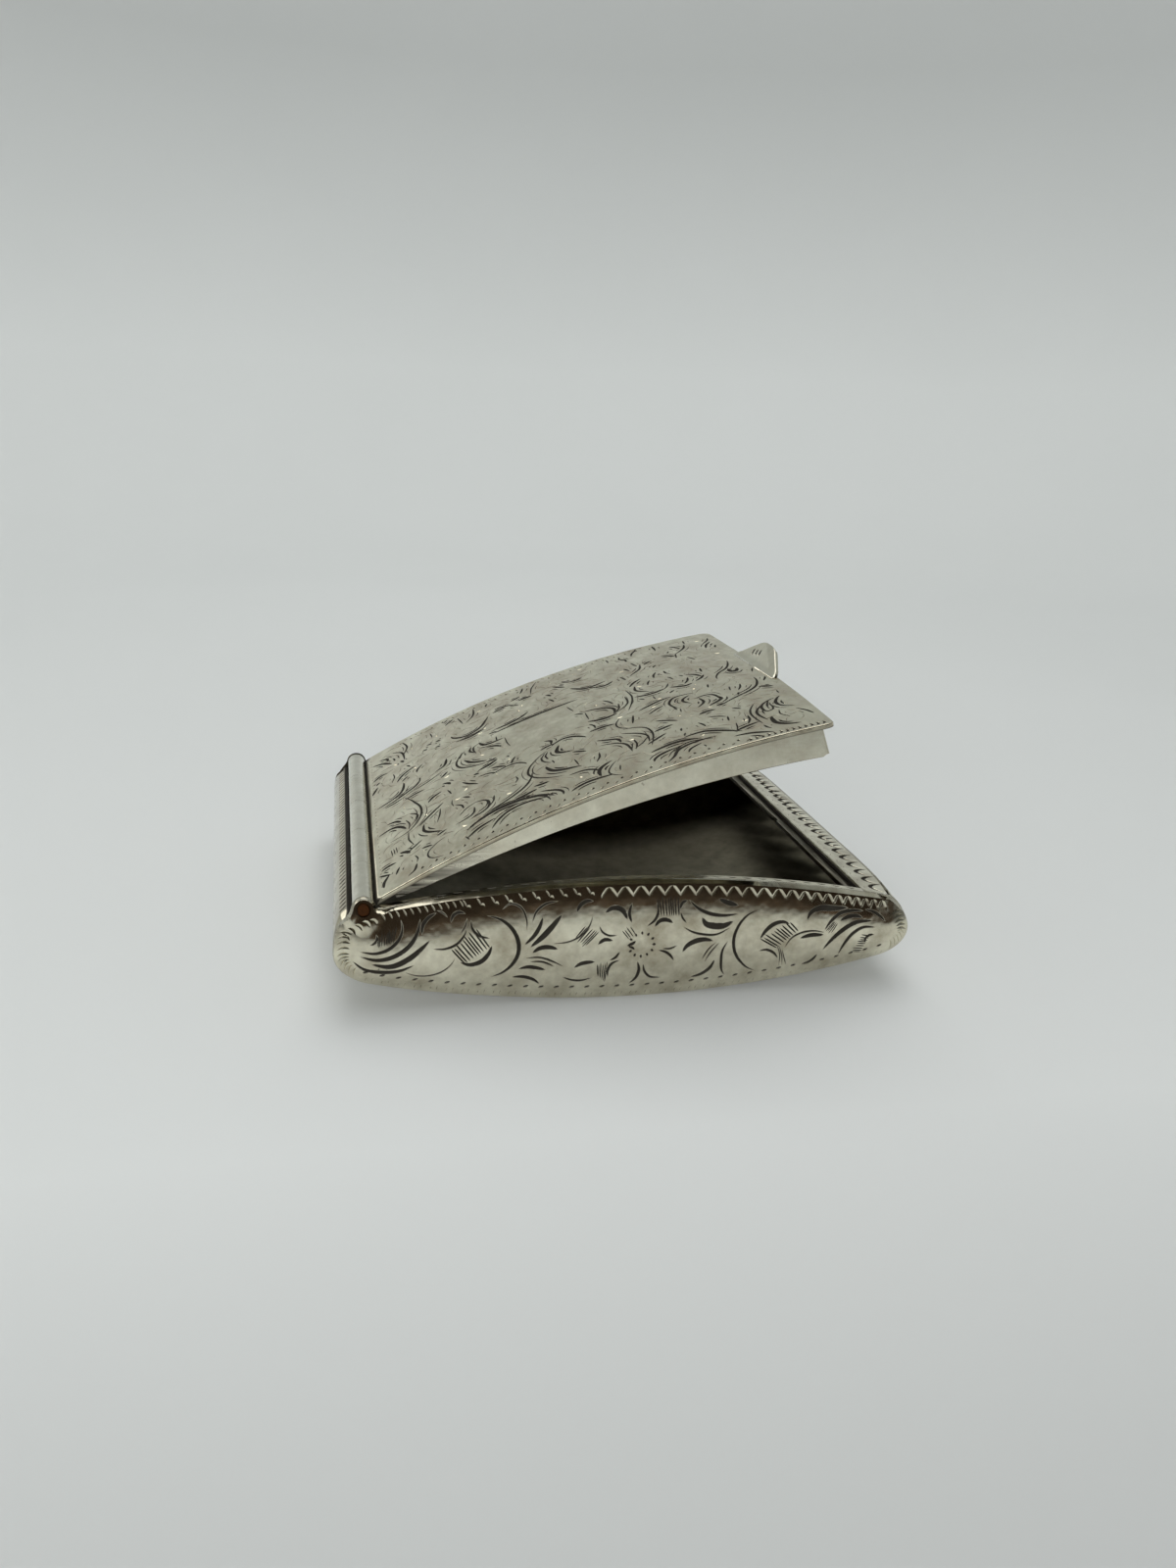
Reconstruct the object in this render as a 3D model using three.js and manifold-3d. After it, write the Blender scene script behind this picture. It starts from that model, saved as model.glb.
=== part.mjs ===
// Bowed silver card case: a lens-sided box with a flush, bowed lid on a five-knuckle hinge.
// Millimetres. X runs from the hinge end to the catch end, Y from the front side to the back, Z is up.
// The origin is under the middle of the belly, on the surface that the case rests on.

import * as THREE from 'three';
import { mergeVertices } from 'three/addons/utils/BufferGeometryUtils.js';
import Module from 'manifold-3d';

const wasm = await Module();
wasm.setup();

// Case body
const LENGTH = 84;
const EDGE_WIDTH = 67.5;
const HEIGHT = 18.2;
const TOP_RADIUS = 195;
const TOP_CENTRE_X = -2;
const BELLY_RADIUS = 162;
const SHEET = 0.7;
const PANEL_EDGE = 0.5;
const PANEL_BULGE = 1.25;
const PANEL_FULLNESS = 2.6;
const PANEL_RINGS = [1, 0.93, 0.84, 0.72, 0.56, 0.36];

// Rounded ends: where the belly stops, where each end is longest and how full its curves are
const BELLY_END = 37.5;
const BELLY_HANDLE = 2.1;
const NOSE_HANDLE = 2.3;
const SHOULDER_HANDLE = 1.8;
const SHOULDER_FALL = 1;
const CATCH_NOSE_Z = 8.7;
const CATCH_SHOULDER = 38.6;
const CATCH_FULLNESS = 1.8;
const CATCH_SWELL = 2.2;
const CATCH_SWELL_FULLNESS = 3;
const CATCH_SWELL_RISE = 2;
const HINGE_NOSE_Z = 8.8;
const HINGE_SHOULDER = 39.6;
const HINGE_FULLNESS = 3.4;

// Rim round the mouth, and the ledge a step below it
const RIM_WIDTH = 1.25;
const RIM_DEPTH = 1;
const RIM_UNDERCUT = 0.6;
const MOUTH_START = -35.9;
const MOUTH_END = 34.5;
const LEDGE_SHEET = 0.65;
const SIDE_LEDGE = 1.1;
const END_LEDGE = 1.5;
const NICK_WIDTH = 1.6;
const NICK_DEPTH = 0.5;

// Hinge
const HINGE_X = -37.8;
const HINGE_Z = 15.3;
const KNUCKLE_RADIUS = 1.5;
const KNUCKLE_COUNT = 5;
const KNUCKLE_GAP = 0.12;
const PIN_RADIUS = 0.8;
const BORE_RADIUS = 0.9;
const EAR_RADIUS = 1.65;
const EAR_PROUD = 0.2;
const EAR_START = Math.PI * 0.17;
const EAR_END = Math.PI * 0.83;
const EAR_FOOT_REACH = 2.5;
const EAR_FOOT_LOW = 1.4;
const EAR_FOOT_HIGH = 0.4;
const EAR_ROOT = 3;
const GROOVE_START = Math.PI * 1.27;
const GROOVE_END = Math.PI * 1.78;
const BEARER_FLOOR = 12.7;
const BEARER_FOOT = 2.2;

// Lid
const LID_OPEN = THREE.MathUtils.degToRad(20.9);
const LID_SHEET = 0.7;
const LID_CLEARANCE = 0.3;
const LID_END_CLEARANCE = 1.3;
const LID_CORNER = 0.6;
const LID_SKEW = 0.8;
const SKIRT_SHEET = 0.6;
const SKIRT_SETBACK = 2.75;
const SKIRT_DROP = 4.3;
const SKIRT_TAPER = 0.65;
const SKIRT_HEEL = 0.8;
const SKIRT_HEEL_IN = 2.4;
const LID_BEARER = 2.6;
const TAB_WIDTH = 18.6;
const TAB_CENTRE_Y = 1.5;
const TAB_LENGTH = 3.8;
const TAB_SHEET = 0.6;
const TAB_RISE = THREE.MathUtils.degToRad(38);
const TAB_CHEEK = 0.75;
const TAB_SHOULDER = 0.72;
const TAB_CROWN = 0.5;

// Seam left between pieces that are soldered together on a slope
const SEAM = 0.3;
const SOLDER_LINE = 0.1;

// Facets, and how far a cutting block reaches past what it cuts
const BELLY_FACETS = 17;
const TOP_FACETS = 20;
const END_FACETS = 3;
const SWELL_FACETS = 12;
const NOSE_FACETS = 7;
const ROUND_FACETS = 28;
const CORNER_FACETS = 3;
const TAB_FACETS = 12;
const OVERCUT = 1;

// Silver varies from piece to piece with wear; the pin is browned iron
const ENGRAVED_SILVER = { color: '#c9c6bd', roughness: 0.28 };
const POLISHED_SILVER = { color: '#cfccc4', roughness: 0.2 };
const WORN_SILVER = { color: '#bdb9ae', roughness: 0.3 };
const DULL_SILVER = { color: '#a9a59a', roughness: 0.36 };
const BROWNED_IRON = { color: '#6b4326', roughness: 0.6 };

const halfEdge = EDGE_WIDTH / 2;
const panelBack = halfEdge - PANEL_EDGE;
const mouthHalf = panelBack - RIM_WIDTH;
const rimBrink = CATCH_SHOULDER - SEAM;
const lidHalf = mouthHalf - LID_CLEARANCE;
const lidEnd = MOUTH_END - LID_END_CLEARANCE;
const lidStart = HINGE_X + KNUCKLE_RADIUS + SEAM;
const ledgeHalf = mouthHalf - SIDE_LEDGE;
const ledgeEnd = MOUTH_END - END_LEDGE;
const skirtHalf = ledgeHalf - LID_CLEARANCE;
const skirtEnd = lidEnd - SKIRT_SETBACK;

const group = new THREE.Group();
const caseBody = new THREE.Group();
const lid = new THREE.Group();
lid.position.set(HINGE_X, 0, HINGE_Z);
lid.rotation.y = -LID_OPEN;
group.add(caseBody, lid);

function addPiece(parent, name, geometry, finish) {
  const mesh = new THREE.Mesh(geometry, new THREE.MeshStandardMaterial({ ...finish, metalness: 1 }));
  mesh.name = name;
  parent.add(mesh);
}

function solidOf(geometry) {
  const bare = geometry.clone();
  bare.deleteAttribute('normal');
  bare.deleteAttribute('uv');
  const merged = mergeVertices(bare);
  const vertProperties = merged.attributes.position.array;
  const triVerts = new Uint32Array(merged.index.array);
  return new wasm.Manifold(new wasm.Mesh({ numProp: 3, vertProperties, triVerts }));
}

function geometryOf(solid) {
  const { vertProperties, triVerts } = solid.getMesh();
  const geometry = new THREE.BufferGeometry();
  geometry.setAttribute('position', new THREE.BufferAttribute(new Float32Array(vertProperties), 3));
  geometry.setIndex(new THREE.BufferAttribute(new Uint32Array(triVerts), 1));
  geometry.computeVertexNormals();
  return geometry;
}

// An XZ outline pulled out along Y from one plane to another
function pulledAlongY(outline, yFrom, yTo) {
  const shape = new THREE.Shape(outline);
  const geometry = new THREE.ExtrudeGeometry(shape, { depth: yTo - yFrom, bevelEnabled: false });
  geometry.rotateX(Math.PI / 2);
  geometry.translate(0, yTo, 0);
  return geometry;
}

// Height of the bowed top above the resting surface
function topZ(x) {
  return HEIGHT - TOP_RADIUS + Math.sqrt(TOP_RADIUS ** 2 - (x - TOP_CENTRE_X) ** 2);
}

// Height of the bowed belly, whose middle facet rests flat
function bellyZ(x) {
  const middleFacetHalf = BELLY_END / BELLY_FACETS;
  const arc = BELLY_RADIUS - Math.sqrt(BELLY_RADIUS ** 2 - x ** 2);
  return arc - BELLY_RADIUS + Math.sqrt(BELLY_RADIUS ** 2 - middleFacetHalf ** 2);
}

function spread(from, to, steps, place) {
  return Array.from({ length: steps + 1 }, (_, i) => place(from + ((to - from) * i) / steps));
}

function point(x, z) {
  return new THREE.Vector2(x, z);
}

// One rounded end: from the belly out to the nose and back up to the shoulder
function noseCurve(side, noseZ, shoulder, fullness) {
  const nose = (side * LENGTH) / 2;
  const bellySlope = BELLY_END / BELLY_RADIUS;
  const lower = new THREE.CubicBezierCurve(
    point(side * BELLY_END, bellyZ(BELLY_END)),
    point(side * (BELLY_END + BELLY_HANDLE), bellyZ(BELLY_END) + BELLY_HANDLE * bellySlope),
    point(nose, noseZ - NOSE_HANDLE),
    point(nose, noseZ),
  );
  const upper = new THREE.CubicBezierCurve(
    point(nose, noseZ),
    point(nose, noseZ + fullness),
    point(side * (shoulder + SHOULDER_HANDLE), topZ(side * shoulder) - SHOULDER_FALL),
    point(side * shoulder, topZ(side * shoulder)),
  );
  return [...lower.getPoints(NOSE_FACETS), ...upper.getPoints(NOSE_FACETS).slice(1)];
}

const hingeNose = noseCurve(-1, HINGE_NOSE_Z, HINGE_SHOULDER, HINGE_FULLNESS);
const catchNose = noseCurve(1, CATCH_NOSE_Z, CATCH_SHOULDER, CATCH_FULLNESS);
const belly = spread(-BELLY_END, BELLY_END, BELLY_FACETS, (x) => point(x, bellyZ(x)));
const girth = [...hingeNose.slice(1).reverse(), ...belly, ...catchNose.slice(1)];
const crown = spread(CATCH_SHOULDER, -HINGE_SHOULDER, TOP_FACETS, (x) => point(x, topZ(x)));
const lensOutline = [...girth, ...crown.slice(1, -1)];

// Each point moved to the left of the way the line runs
function shiftedInward(line, distance) {
  return line.map((here, i) => {
    const before = line[Math.max(i - 1, 0)];
    const after = line[Math.min(i + 1, line.length - 1)];
    const along = after.clone().sub(before).normalize();
    return point(here.x - along.y * distance, here.y + along.x * distance);
  });
}

// A skin from ring to ring, closed at both ends
function loft(rings) {
  const sides = rings[0].length;
  const cap = THREE.ShapeUtils.triangulateShape(rings[0].map((p) => point(p.x, p.z)), []);
  const last = (rings.length - 1) * sides;
  const index = [];
  for (const [a, b, c] of cap) {
    index.push(a, c, b);
    index.push(last + a, last + b, last + c);
  }
  for (let ring = 0; ring < rings.length - 1; ring += 1) {
    for (let i = 0; i < sides; i += 1) {
      const a = ring * sides + i;
      const b = ring * sides + ((i + 1) % sides);
      index.push(a, b, b + sides);
      index.push(a, b + sides, a + sides);
    }
  }
  const geometry = new THREE.BufferGeometry().setFromPoints(rings.flat());
  geometry.setIndex(index);
  return geometry;
}

// An XZ outline carried along Y whose upper catch end swells out between the panels
function swollenAlongY(outline) {
  const { clamp } = THREE.MathUtils;
  const swell = (y) => CATCH_SWELL * (1 - Math.abs(y / panelBack) ** CATCH_SWELL_FULLNESS);
  const share = (p) => {
    const along = clamp((p.x - MOUTH_END) / (rimBrink - MOUTH_END), 0, 1);
    const up = clamp((p.y - CATCH_NOSE_Z) / (topZ(CATCH_SHOULDER) - CATCH_NOSE_Z), 0, 1);
    return along * up ** CATCH_SWELL_RISE;
  };
  const ringAt = (y) => outline.map((p) => new THREE.Vector3(p.x + swell(y) * share(p), y, p.y));
  return loft(spread(panelBack, -panelBack, SWELL_FACETS, ringAt));
}

// Belly and both ends: one sheet rolled up round the case
const girthInside = shiftedInward(girth, SHEET);
const wrapOutline = [...girth, ...girthInside.reverse()];
addPiece(caseBody, 'base_wrap', swollenAlongY(wrapOutline), WORN_SILVER);

// Side panels: pillowed lens plates, each with a raised ear round the hinge pin
function pillowedLens(side) {
  const middleZ = HEIGHT / 2;
  const slimness = HEIGHT / LENGTH;
  const ringAt = (y, reach) => lensOutline.map((p) => new THREE.Vector3(
    p.x * (1 - (1 - reach) * slimness),
    y,
    middleZ + (p.y - middleZ) * reach,
  ));
  const swell = (reach) => halfEdge + PANEL_BULGE * (1 - reach ** PANEL_FULLNESS);
  const face = PANEL_RINGS.map((reach) => ringAt(side * swell(reach), reach));
  const rings = [ringAt(side * panelBack, 1), ...face];
  return loft(side < 0 ? rings : rings.reverse());
}

function ear(side) {
  const rim = spread(EAR_START, EAR_END, ROUND_FACETS / 2, (angle) => point(
    HINGE_X + EAR_RADIUS * Math.cos(angle),
    HINGE_Z + EAR_RADIUS * Math.sin(angle),
  ));
  const root = [
    point(HINGE_X - EAR_FOOT_REACH, HINGE_Z - EAR_FOOT_LOW),
    point(HINGE_X, HINGE_Z - EAR_ROOT),
    point(HINGE_X + EAR_FOOT_REACH, HINGE_Z - EAR_FOOT_HIGH),
  ];
  const face = side * (halfEdge + EAR_PROUD);
  const back = side * panelBack;
  return pulledAlongY([...rim, ...root], Math.min(face, back), Math.max(face, back));
}

function alongHinge(radius, reach) {
  return new THREE.CylinderGeometry(radius, radius, 2 * reach, ROUND_FACETS).translate(HINGE_X, 0, HINGE_Z);
}

const pinBore = solidOf(alongHinge(BORE_RADIUS, EDGE_WIDTH));
for (const [name, side] of [['front_panel', -1], ['back_panel', 1]]) {
  const plate = solidOf(pillowedLens(side)).add(solidOf(ear(side))).subtract(pinBore);
  addPiece(caseBody, name, geometryOf(plate), ENGRAVED_SILVER);
}

// A line that follows the bowed top at some depth below it, and a strip between two such lines
function bowedLine(xFrom, xTo, depth, facets) {
  return spread(xFrom, xTo, facets, (x) => point(x, topZ(x) - depth));
}

function bowedStrip(xFrom, xTo, depthFrom, depthTo, facets) {
  return [...bowedLine(xFrom, xTo, depthFrom, facets), ...bowedLine(xTo, xFrom, depthTo, facets)];
}

// Rims round the mouth, soldered between the panels
const sideRim = bowedStrip(MOUTH_START, MOUTH_END, 0, RIM_DEPTH, TOP_FACETS);
addPiece(caseBody, 'front_rim', pulledAlongY(sideRim, -panelBack, -mouthHalf), ENGRAVED_SILVER);
addPiece(caseBody, 'back_rim', pulledAlongY(sideRim, mouthHalf, panelBack), ENGRAVED_SILVER);
const endRim = [
  ...bowedLine(MOUTH_END, rimBrink - RIM_UNDERCUT, RIM_DEPTH, END_FACETS),
  ...bowedLine(rimBrink, MOUTH_END, 0, END_FACETS),
];
addPiece(caseBody, 'end_rim', swollenAlongY(endRim), ENGRAVED_SILVER);

// Ledges that carry the shut lid, a step below the rims
const ledgeTop = RIM_DEPTH + SOLDER_LINE;
const ledgeFoot = ledgeTop + LEDGE_SHEET;
const sideLedge = bowedStrip(MOUTH_START, ledgeEnd - SOLDER_LINE, ledgeTop, ledgeFoot, TOP_FACETS);
addPiece(caseBody, 'front_ledge', pulledAlongY(sideLedge, -panelBack, -ledgeHalf), DULL_SILVER);
addPiece(caseBody, 'back_ledge', pulledAlongY(sideLedge, ledgeHalf, panelBack), DULL_SILVER);
const endLedge = bowedStrip(ledgeEnd, CATCH_SHOULDER - RIM_DEPTH, ledgeTop, ledgeFoot, END_FACETS);
const nick = new THREE.BoxGeometry(NICK_DEPTH * 2, NICK_WIDTH, HEIGHT).translate(ledgeEnd, 0, topZ(ledgeEnd));
const nickedLedge = solidOf(pulledAlongY(endLedge, -panelBack, panelBack)).subtract(solidOf(nick));
addPiece(caseBody, 'end_ledge', geometryOf(nickedLedge), DULL_SILVER);

// Hinge bearer: a grooved strip that closes the hinge end and cradles the barrel
const groove = spread(GROOVE_START, GROOVE_END, ROUND_FACETS / 2, (angle) => point(
  HINGE_X + (KNUCKLE_RADIUS + SEAM) * Math.cos(angle),
  HINGE_Z + (KNUCKLE_RADIUS + SEAM) * Math.sin(angle),
));
const bearerFoot = [point(MOUTH_START, BEARER_FLOOR), point(HINGE_X - BEARER_FOOT, BEARER_FLOOR)];
const bearer = pulledAlongY([...groove, ...bearerFoot], -panelBack, panelBack);
addPiece(caseBody, 'hinge_bearer', bearer, DULL_SILVER);

// Barrel: short tubes in turn on the body and on the lid, all on one pin
function knuckle(yFrom, yTo) {
  const profile = [
    point(BORE_RADIUS, yFrom),
    point(KNUCKLE_RADIUS, yFrom),
    point(KNUCKLE_RADIUS, yTo),
    point(BORE_RADIUS, yTo),
    point(BORE_RADIUS, yFrom),
  ];
  return new THREE.LatheGeometry(profile, ROUND_FACETS);
}

const knuckleNames = [
  'body_knuckle_front',
  'lid_knuckle_front',
  'body_knuckle_middle',
  'lid_knuckle_back',
  'body_knuckle_back',
];
const knucklePitch = (2 * panelBack) / KNUCKLE_COUNT;
knuckleNames.forEach((name, i) => {
  const gapBefore = i > 0 ? KNUCKLE_GAP / 2 : 0;
  const gapAfter = i < KNUCKLE_COUNT - 1 ? KNUCKLE_GAP / 2 : 0;
  const start = -panelBack + i * knucklePitch;
  const tube = knuckle(start + gapBefore, start + knucklePitch - gapAfter);
  if (name.startsWith('lid')) {
    addPiece(lid, name, tube, WORN_SILVER);
  } else {
    addPiece(caseBody, name, tube.translate(HINGE_X, 0, HINGE_Z), WORN_SILVER);
  }
});
addPiece(caseBody, 'hinge_pin', alongHinge(PIN_RADIUS, halfEdge + EAR_PROUD), BROWNED_IRON);

// Lid pieces are drawn shut and then hung on the hinge axis
function addLidPiece(name, geometry, finish) {
  addPiece(lid, name, geometry.translate(-HINGE_X, 0, -HINGE_Z), finish);
}

// Lid plate: a bowed sheet with its two free corners rounded, its free edge filed a little out of square
const plateBand = bowedStrip(lidStart, lidEnd, 0, LID_SHEET, TOP_FACETS);
const plan = new THREE.Shape();
plan.moveTo(lidStart - OVERCUT, -lidHalf);
plan.lineTo(lidEnd - LID_SKEW - LID_CORNER, -lidHalf);
plan.absarc(lidEnd - LID_SKEW - LID_CORNER, -lidHalf + LID_CORNER, LID_CORNER, -Math.PI / 2, 0);
plan.lineTo(lidEnd, lidHalf - LID_CORNER);
plan.absarc(lidEnd - LID_CORNER, lidHalf - LID_CORNER, LID_CORNER, 0, Math.PI / 2);
plan.lineTo(lidStart - OVERCUT, lidHalf);
const planBlock = new THREE.ExtrudeGeometry(plan, {
  depth: 2 * HEIGHT,
  bevelEnabled: false,
  curveSegments: CORNER_FACETS,
});
const wideBand = solidOf(pulledAlongY(plateBand, -lidHalf - OVERCUT, lidHalf + OVERCUT));
addLidPiece('lid_plate', geometryOf(wideBand.intersect(solidOf(planBlock))), ENGRAVED_SILVER);

// Skirts: strips set in under the plate, deepest at the free end, that guide it into the mouth
const skirtTop = LID_SHEET + SEAM;
const heelX = MOUTH_START + SKIRT_HEEL_IN;
const skirtDrop = (x) => {
  const along = (x - heelX) / (skirtEnd - heelX);
  return SKIRT_HEEL + (SKIRT_DROP - SKIRT_HEEL) * along ** SKIRT_TAPER;
};
const skirtCrown = bowedLine(heelX, skirtEnd, skirtTop, TOP_FACETS);
const skirtHem = skirtCrown.map((p) => point(p.x, p.y - skirtDrop(p.x))).reverse();
const skirtOutline = [...skirtCrown, ...skirtHem];
const skirtInside = skirtHalf - SKIRT_SHEET;
addLidPiece('lid_skirt_front', pulledAlongY(skirtOutline, -skirtHalf, -skirtInside), POLISHED_SILVER);
addLidPiece('lid_skirt_back', pulledAlongY(skirtOutline, skirtInside, skirtHalf), POLISHED_SILVER);
const endCrown = topZ(skirtEnd) - skirtTop;
const endSkirt = [
  point(skirtEnd - SKIRT_SHEET, endCrown - SKIRT_DROP),
  point(skirtEnd, endCrown - SKIRT_DROP),
  point(skirtEnd, endCrown),
  point(skirtEnd - SKIRT_SHEET, endCrown),
];
const endSkirtHalf = skirtInside - SEAM;
addLidPiece('lid_skirt_end', pulledAlongY(endSkirt, -endSkirtHalf, endSkirtHalf), POLISHED_SILVER);

// Lid bearer: a strip under the hinge edge that stiffens the plate between the skirts
const lidBearer = bowedStrip(heelX, heelX + LID_BEARER, skirtTop, skirtTop + SKIRT_SHEET, END_FACETS);
addLidPiece('lid_bearer', pulledAlongY(lidBearer, -endSkirtHalf, endSkirtHalf), DULL_SILVER);

// Thumb tab: a rounded tongue turned up from the free edge
const tabHalf = TAB_WIDTH / 2;
const cheek = TAB_LENGTH * TAB_CHEEK;
const shoulder = tabHalf * TAB_SHOULDER;
const crownHalf = tabHalf * TAB_CROWN;
const tongue = new THREE.Shape();
tongue.moveTo(0, -tabHalf);
tongue.bezierCurveTo(cheek, -shoulder, TAB_LENGTH, -crownHalf, TAB_LENGTH, 0);
tongue.bezierCurveTo(TAB_LENGTH, crownHalf, cheek, shoulder, 0, tabHalf);
const tab = new THREE.ExtrudeGeometry(tongue, {
  depth: TAB_SHEET,
  bevelEnabled: false,
  curveSegments: TAB_FACETS,
});
tab.rotateY(-TAB_RISE);
const tabRoot = lidEnd - LID_SKEW / 2 - TAB_SHEET;
tab.translate(tabRoot + TAB_SHEET * Math.sin(TAB_RISE), TAB_CENTRE_Y, topZ(tabRoot) + SEAM);
addLidPiece('thumb_tab', tab, POLISHED_SILVER);

export default group;
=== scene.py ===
import math

import bpy
import numpy as np
from mathutils import Matrix, Vector
from mathutils.geometry import delaunay_2d_cdt


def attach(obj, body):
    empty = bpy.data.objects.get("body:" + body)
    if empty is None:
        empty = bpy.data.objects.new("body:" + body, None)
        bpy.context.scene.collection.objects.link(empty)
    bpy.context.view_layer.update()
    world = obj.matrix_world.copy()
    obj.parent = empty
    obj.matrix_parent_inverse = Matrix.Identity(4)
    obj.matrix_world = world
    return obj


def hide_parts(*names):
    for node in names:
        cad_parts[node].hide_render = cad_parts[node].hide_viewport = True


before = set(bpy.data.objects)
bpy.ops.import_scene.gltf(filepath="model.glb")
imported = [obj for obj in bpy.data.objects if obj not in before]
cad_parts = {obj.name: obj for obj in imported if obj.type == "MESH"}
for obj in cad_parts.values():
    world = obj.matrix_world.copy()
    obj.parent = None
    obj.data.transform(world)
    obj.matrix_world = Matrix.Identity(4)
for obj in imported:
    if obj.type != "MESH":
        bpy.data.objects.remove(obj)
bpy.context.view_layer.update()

# Belly and both rounded ends: one silver sheet rolled up round the case and soldered between the
# side panels. A row of fine ticks runs down the hinge end, and C-shaped cuts line the catch end.
# Everything is worked out in millimetres and becomes metres when a mesh is made.
MM = 0.001
LENGTH = 84.0
HALF_EDGE = 33.75
PANEL_BACK = 33.25
HEIGHT = 18.2
TOP_RADIUS = 195.0
TOP_CENTRE = -2.0
BELLY_RADIUS = 162.0
BELLY_END = 37.5
CATCH_NOSE_Z, CATCH_SHOULDER, CATCH_FULLNESS = 8.7, 38.6, 1.8
HINGE_NOSE_Z, HINGE_SHOULDER, HINGE_FULLNESS = 8.8, 39.6, 3.4
WRAP_SHEET = 0.7
WRAP_GRAIN = 1.8
MOUTH_START, MOUTH_END = -35.9, 34.5
RIM_BRINK = CATCH_SHOULDER - 0.3
NOSE_STEPS = 18
CATCH_SWELL = 1.4


def top_z(x):
    return HEIGHT - TOP_RADIUS + np.sqrt(TOP_RADIUS ** 2 - (np.asarray(x) - TOP_CENTRE) ** 2)


def belly_z(x):
    return BELLY_RADIUS - np.sqrt(BELLY_RADIUS ** 2 - np.asarray(x) ** 2)


def bezier(a, b, c, d, steps):
    t = np.linspace(0, 1, steps + 1)[:, None]
    a, b, c, d = (np.array(p, float) for p in (a, b, c, d))
    return a * (1 - t) ** 3 + 3 * b * t * (1 - t) ** 2 + 3 * c * t ** 2 * (1 - t) + d * t ** 3


def nose(side, nose_z, shoulder, fullness):
    """One rounded end, from the belly out to the nose and back up to the shoulder."""
    tip, low = side * LENGTH / 2, float(belly_z(BELLY_END))
    high = float(top_z(side * shoulder))
    lower = bezier((side * BELLY_END, low), (side * (BELLY_END + 2.1), low + 0.5),
                   (tip, nose_z - 2.3), (tip, nose_z), NOSE_STEPS)
    upper = bezier((tip, nose_z), (tip, nose_z + fullness),
                   (side * (shoulder + 1.8), high - 1), (side * shoulder, high), NOSE_STEPS)
    return np.vstack([lower, upper[1:]])


hinge_nose = nose(-1, HINGE_NOSE_Z, HINGE_SHOULDER, HINGE_FULLNESS)
catch_nose = nose(1, CATCH_NOSE_Z, CATCH_SHOULDER, CATCH_FULLNESS)
belly_x = np.linspace(-BELLY_END, BELLY_END, 61)[1:-1]
belly = np.column_stack([belly_x, belly_z(belly_x)])
girth = np.vstack([hinge_nose[::-1], belly, catch_nose])
girth_length = np.concatenate([[0], np.cumsum(np.hypot(*np.diff(girth, axis=0).T))])
GIRTH = girth_length[-1]


def smooth_line(points, steps):
    """A smooth line through a few points, as the hand guides the graver."""
    p = np.array(points, float)
    knots = np.concatenate([[0], np.cumsum(np.hypot(*np.diff(p, axis=0).T))])
    slope = np.gradient(p, knots, axis=0) if len(p) > 2 else np.repeat((p[1:] - p[:1]) / knots[-1], 2, 0)
    t = np.linspace(0, knots[-1], steps + 1)
    i = np.clip(np.searchsorted(knots, t, side="right") - 1, 0, len(p) - 2)
    h = (knots[i + 1] - knots[i])[:, None]
    s = (t - knots[i])[:, None] / h
    return ((2 * s ** 3 - 3 * s ** 2 + 1) * p[i] + (s ** 3 - 2 * s ** 2 + s) * h * slope[i]
            + (3 * s ** 2 - 2 * s ** 3) * p[i + 1] + (s ** 3 - s ** 2) * h * slope[i + 1])


CUT_STEP, DEEPEST_CUT, SOOTY_DEPTH = 0.38, 0.26, 0.16


class Cut:
    """One cut of the graver: a V-shaped furrow that tapers to nothing at both ends and leans to one side.
    A small blunt keeps it wide up to its ends; soot is how much dirt has stayed in it, and full how far
    up its walls."""

    def __init__(self, width, *points, lean=0.35, depth=0.36, blunt=0.8, soot=1.0, full=0.0):
        length = np.hypot(*np.diff(np.array(points, float), axis=0).T).sum()
        steps = int(np.clip(length / CUT_STEP, 5, 20))
        self.line = smooth_line(points, steps)
        taper = np.sin(np.pi * np.linspace(0, 1, steps + 1)).clip(0) ** blunt
        taper[[0, -1]] = 0
        self.soot, self.full = soot, full
        self.left = width * lean * taper
        self.right = width * (1 - lean) * taper
        self.depth = min(width * depth, DEEPEST_CUT) * taper
        along = np.gradient(self.line, axis=0)
        along /= np.hypot(*along.T)[:, None]
        across = np.column_stack([-along[:, 1], along[:, 0]])
        self.rows = (self.line + across * self.left[:, None], self.line,
                     self.line - across * self.right[:, None])
        self.find_box()

    def find_box(self):
        self.low, self.high = np.vstack(self.rows).min(0), np.vstack(self.rows).max(0)

    def mirror(self):
        """Turns the cut round for the far side of the case."""
        self.line = self.line * (-1, 1)
        self.rows = tuple(row * (-1, 1) for row in self.rows[::-1])
        self.left, self.right = self.right, self.left
        self.find_box()


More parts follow.
